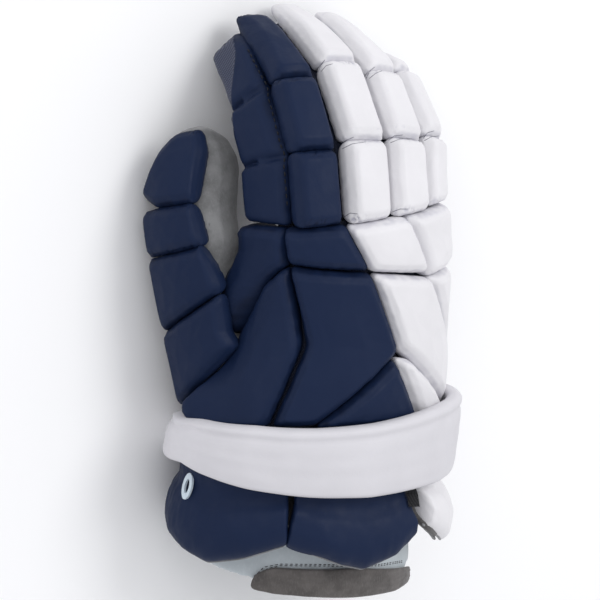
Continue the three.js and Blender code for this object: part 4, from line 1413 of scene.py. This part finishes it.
# Painted shade: a dark finish for the cords that stand for the shade in the folds.
FOLD_SHADE = plain_thread("fold_shade", (0.17, 0.17, 0.21))
white_trees = surface_of([
    pads[digit + "_" + part + "_pad"]
    for digit in ("middle", "ring", "pinky") for part in ("proximal", "middle", "distal")
])
for number, corners in enumerate(FOLD_SHADE_LINES):
    line = seam_line(white_trees, corners, FOLD_STEP)
    path = [point - normal * FOLD_SINK for point, normal in line]
    if len(path) > 3:
        tube("fold_" + str(number), path, FOLD_RADIUS, FOLD_SHADE, 6)
print("folds:", len(FOLD_SHADE_LINES))

# %% [markdown]
# Camera
# The camera stands where the photograph's stood. Turning the hand to face a plain camera
# would lift it off the ground, so the camera goes to the hand: out along the view, aimed at
# the middle of the picture, with a lens that fits the picture's width at that distance.

# %% Camera
SENSOR = 36
aim = right * (IMAGE_SIDE / 2 - ORIGIN_X) * PIXEL - up * (IMAGE_SIDE / 2 - ORIGIN_Y) * PIXEL
place = out * DISTANCE
camera_data = bpy.data.cameras.new("camera")
camera_data.sensor_width = SENSOR
camera_data.lens = SENSOR * DISTANCE / (IMAGE_SIDE * PIXEL)
camera_data.clip_end = 20
camera = bpy.data.objects.new("camera", camera_data)
bpy.context.scene.collection.objects.link(camera)
back = (REST3 @ (place - aim))
back /= np.linalg.norm(back)
side = np.cross(world_up, back)
side /= np.linalg.norm(side)
above = np.cross(back, side)
turn = Matrix((
    (side[0], above[0], back[0]),
    (side[1], above[1], back[1]),
    (side[2], above[2], back[2]),
)).to_4x4()
camera.matrix_world = Matrix.Translation(Vector(REST3 @ place + REST_T)) @ turn
bpy.context.scene.camera = camera
print("lens:", round(camera_data.lens, 1), "mm")

# %% [markdown]
# Floor
# The photograph is cut out on white. A shadow catcher would leave the floor empty, and a pale
# floor catches a light shadow as well, which shows that the glove lies on it.

# %% Floor
FLOOR_HALF = 4
floor_mesh = bpy.data.meshes.new("floor")
floor_corners = [(x * FLOOR_HALF, y * FLOOR_HALF, 0) for x, y in ((-1, -1), (1, -1), (1, 1), (-1, 1))]
floor_mesh.from_pydata(floor_corners, [], [(0, 1, 2, 3)])
floor_material, floor_tree, floor_shader, floor_at = start_material("floor", (0.86, 0.86, 0.87), 0.9)
floor_patches = add_noise(floor_tree, floor_at, 3, 2)
floor_shade = mix_color(floor_tree, (0.95, 0.95, 0.955), (0.97, 0.97, 0.975), floor_patches)
floor_tree.links.new(floor_shade, floor_shader.inputs["Base Color"])
floor = new_object("floor", floor_mesh, floor_material, False)
print("floor:", 2 * FLOOR_HALF, "m wide")

# %% [markdown]
# Light
# The real glove was lit softly from above. A sun lamp would draw hard edges. Three broad discs
# give soft ones, and a pale sky fills the rest.

# %% Light
def area_light(name, toward, far, size, power, color):
    data = bpy.data.lights.new(name, "AREA")
    data.shape = "DISK"
    data.size = size
    data.energy = power
    data.color = color
    light = bpy.data.objects.new(name, data)
    direction = Vector(toward).normalized()
    light.location = direction * far + Vector((0, 0, 0.05))
    light.rotation_euler = direction.to_track_quat("Z", "Y").to_euler()
    bpy.context.scene.collection.objects.link(light)


# The direction, the distance, the disc's size, the power and the colour of each lamp.
LIGHTS = {
    "key": ((0.45, 0.45, 0.85), 1.6, 0.9, 8.5, (1, 1, 1)),
    "fill": ((-0.7, 0.6, 0.7), 1.8, 1.2, 4.5, (0.98, 0.985, 1)),
    "low": ((0.1, -1.0, 0.5), 1.8, 1.2, 2, (1, 1, 1)),
}
SKY_COLOR = (0.965, 0.97, 1.0, 1)
SKY_STRENGTH = 0.76
for name, (toward, far, size, power, color) in LIGHTS.items():
    area_light(name, toward, far, size, power, color)
world = bpy.data.worlds.new("studio")
world.use_nodes = True
world.node_tree.nodes["Background"].inputs["Color"].default_value = SKY_COLOR
world.node_tree.nodes["Background"].inputs["Strength"].default_value = SKY_STRENGTH
bpy.context.scene.world = world
bpy.context.scene.view_settings.view_transform = "Standard"

# %% [markdown]
# Lying on the ground
# The solids are cut flat where they rest, and growing and smoothing pushed some vertices a
# hair below the ground. A boolean cut would make new faces there. Lifting those vertices to
# the ground keeps the meshes as they are.

# %% Lying on the ground
lowest = 0.0
for obj in [band, *pads.values(), *thin.values()]:
    co, no = arrays(obj.data)
    lowest = min(lowest, co[:, 2].min())
    co[:, 2] = np.maximum(co[:, 2], 0.0)
    obj.data.vertices.foreach_set("co", co.ravel())
    obj.data.update()
print("the lowest vertex was at", round(float(lowest), 5), "m")
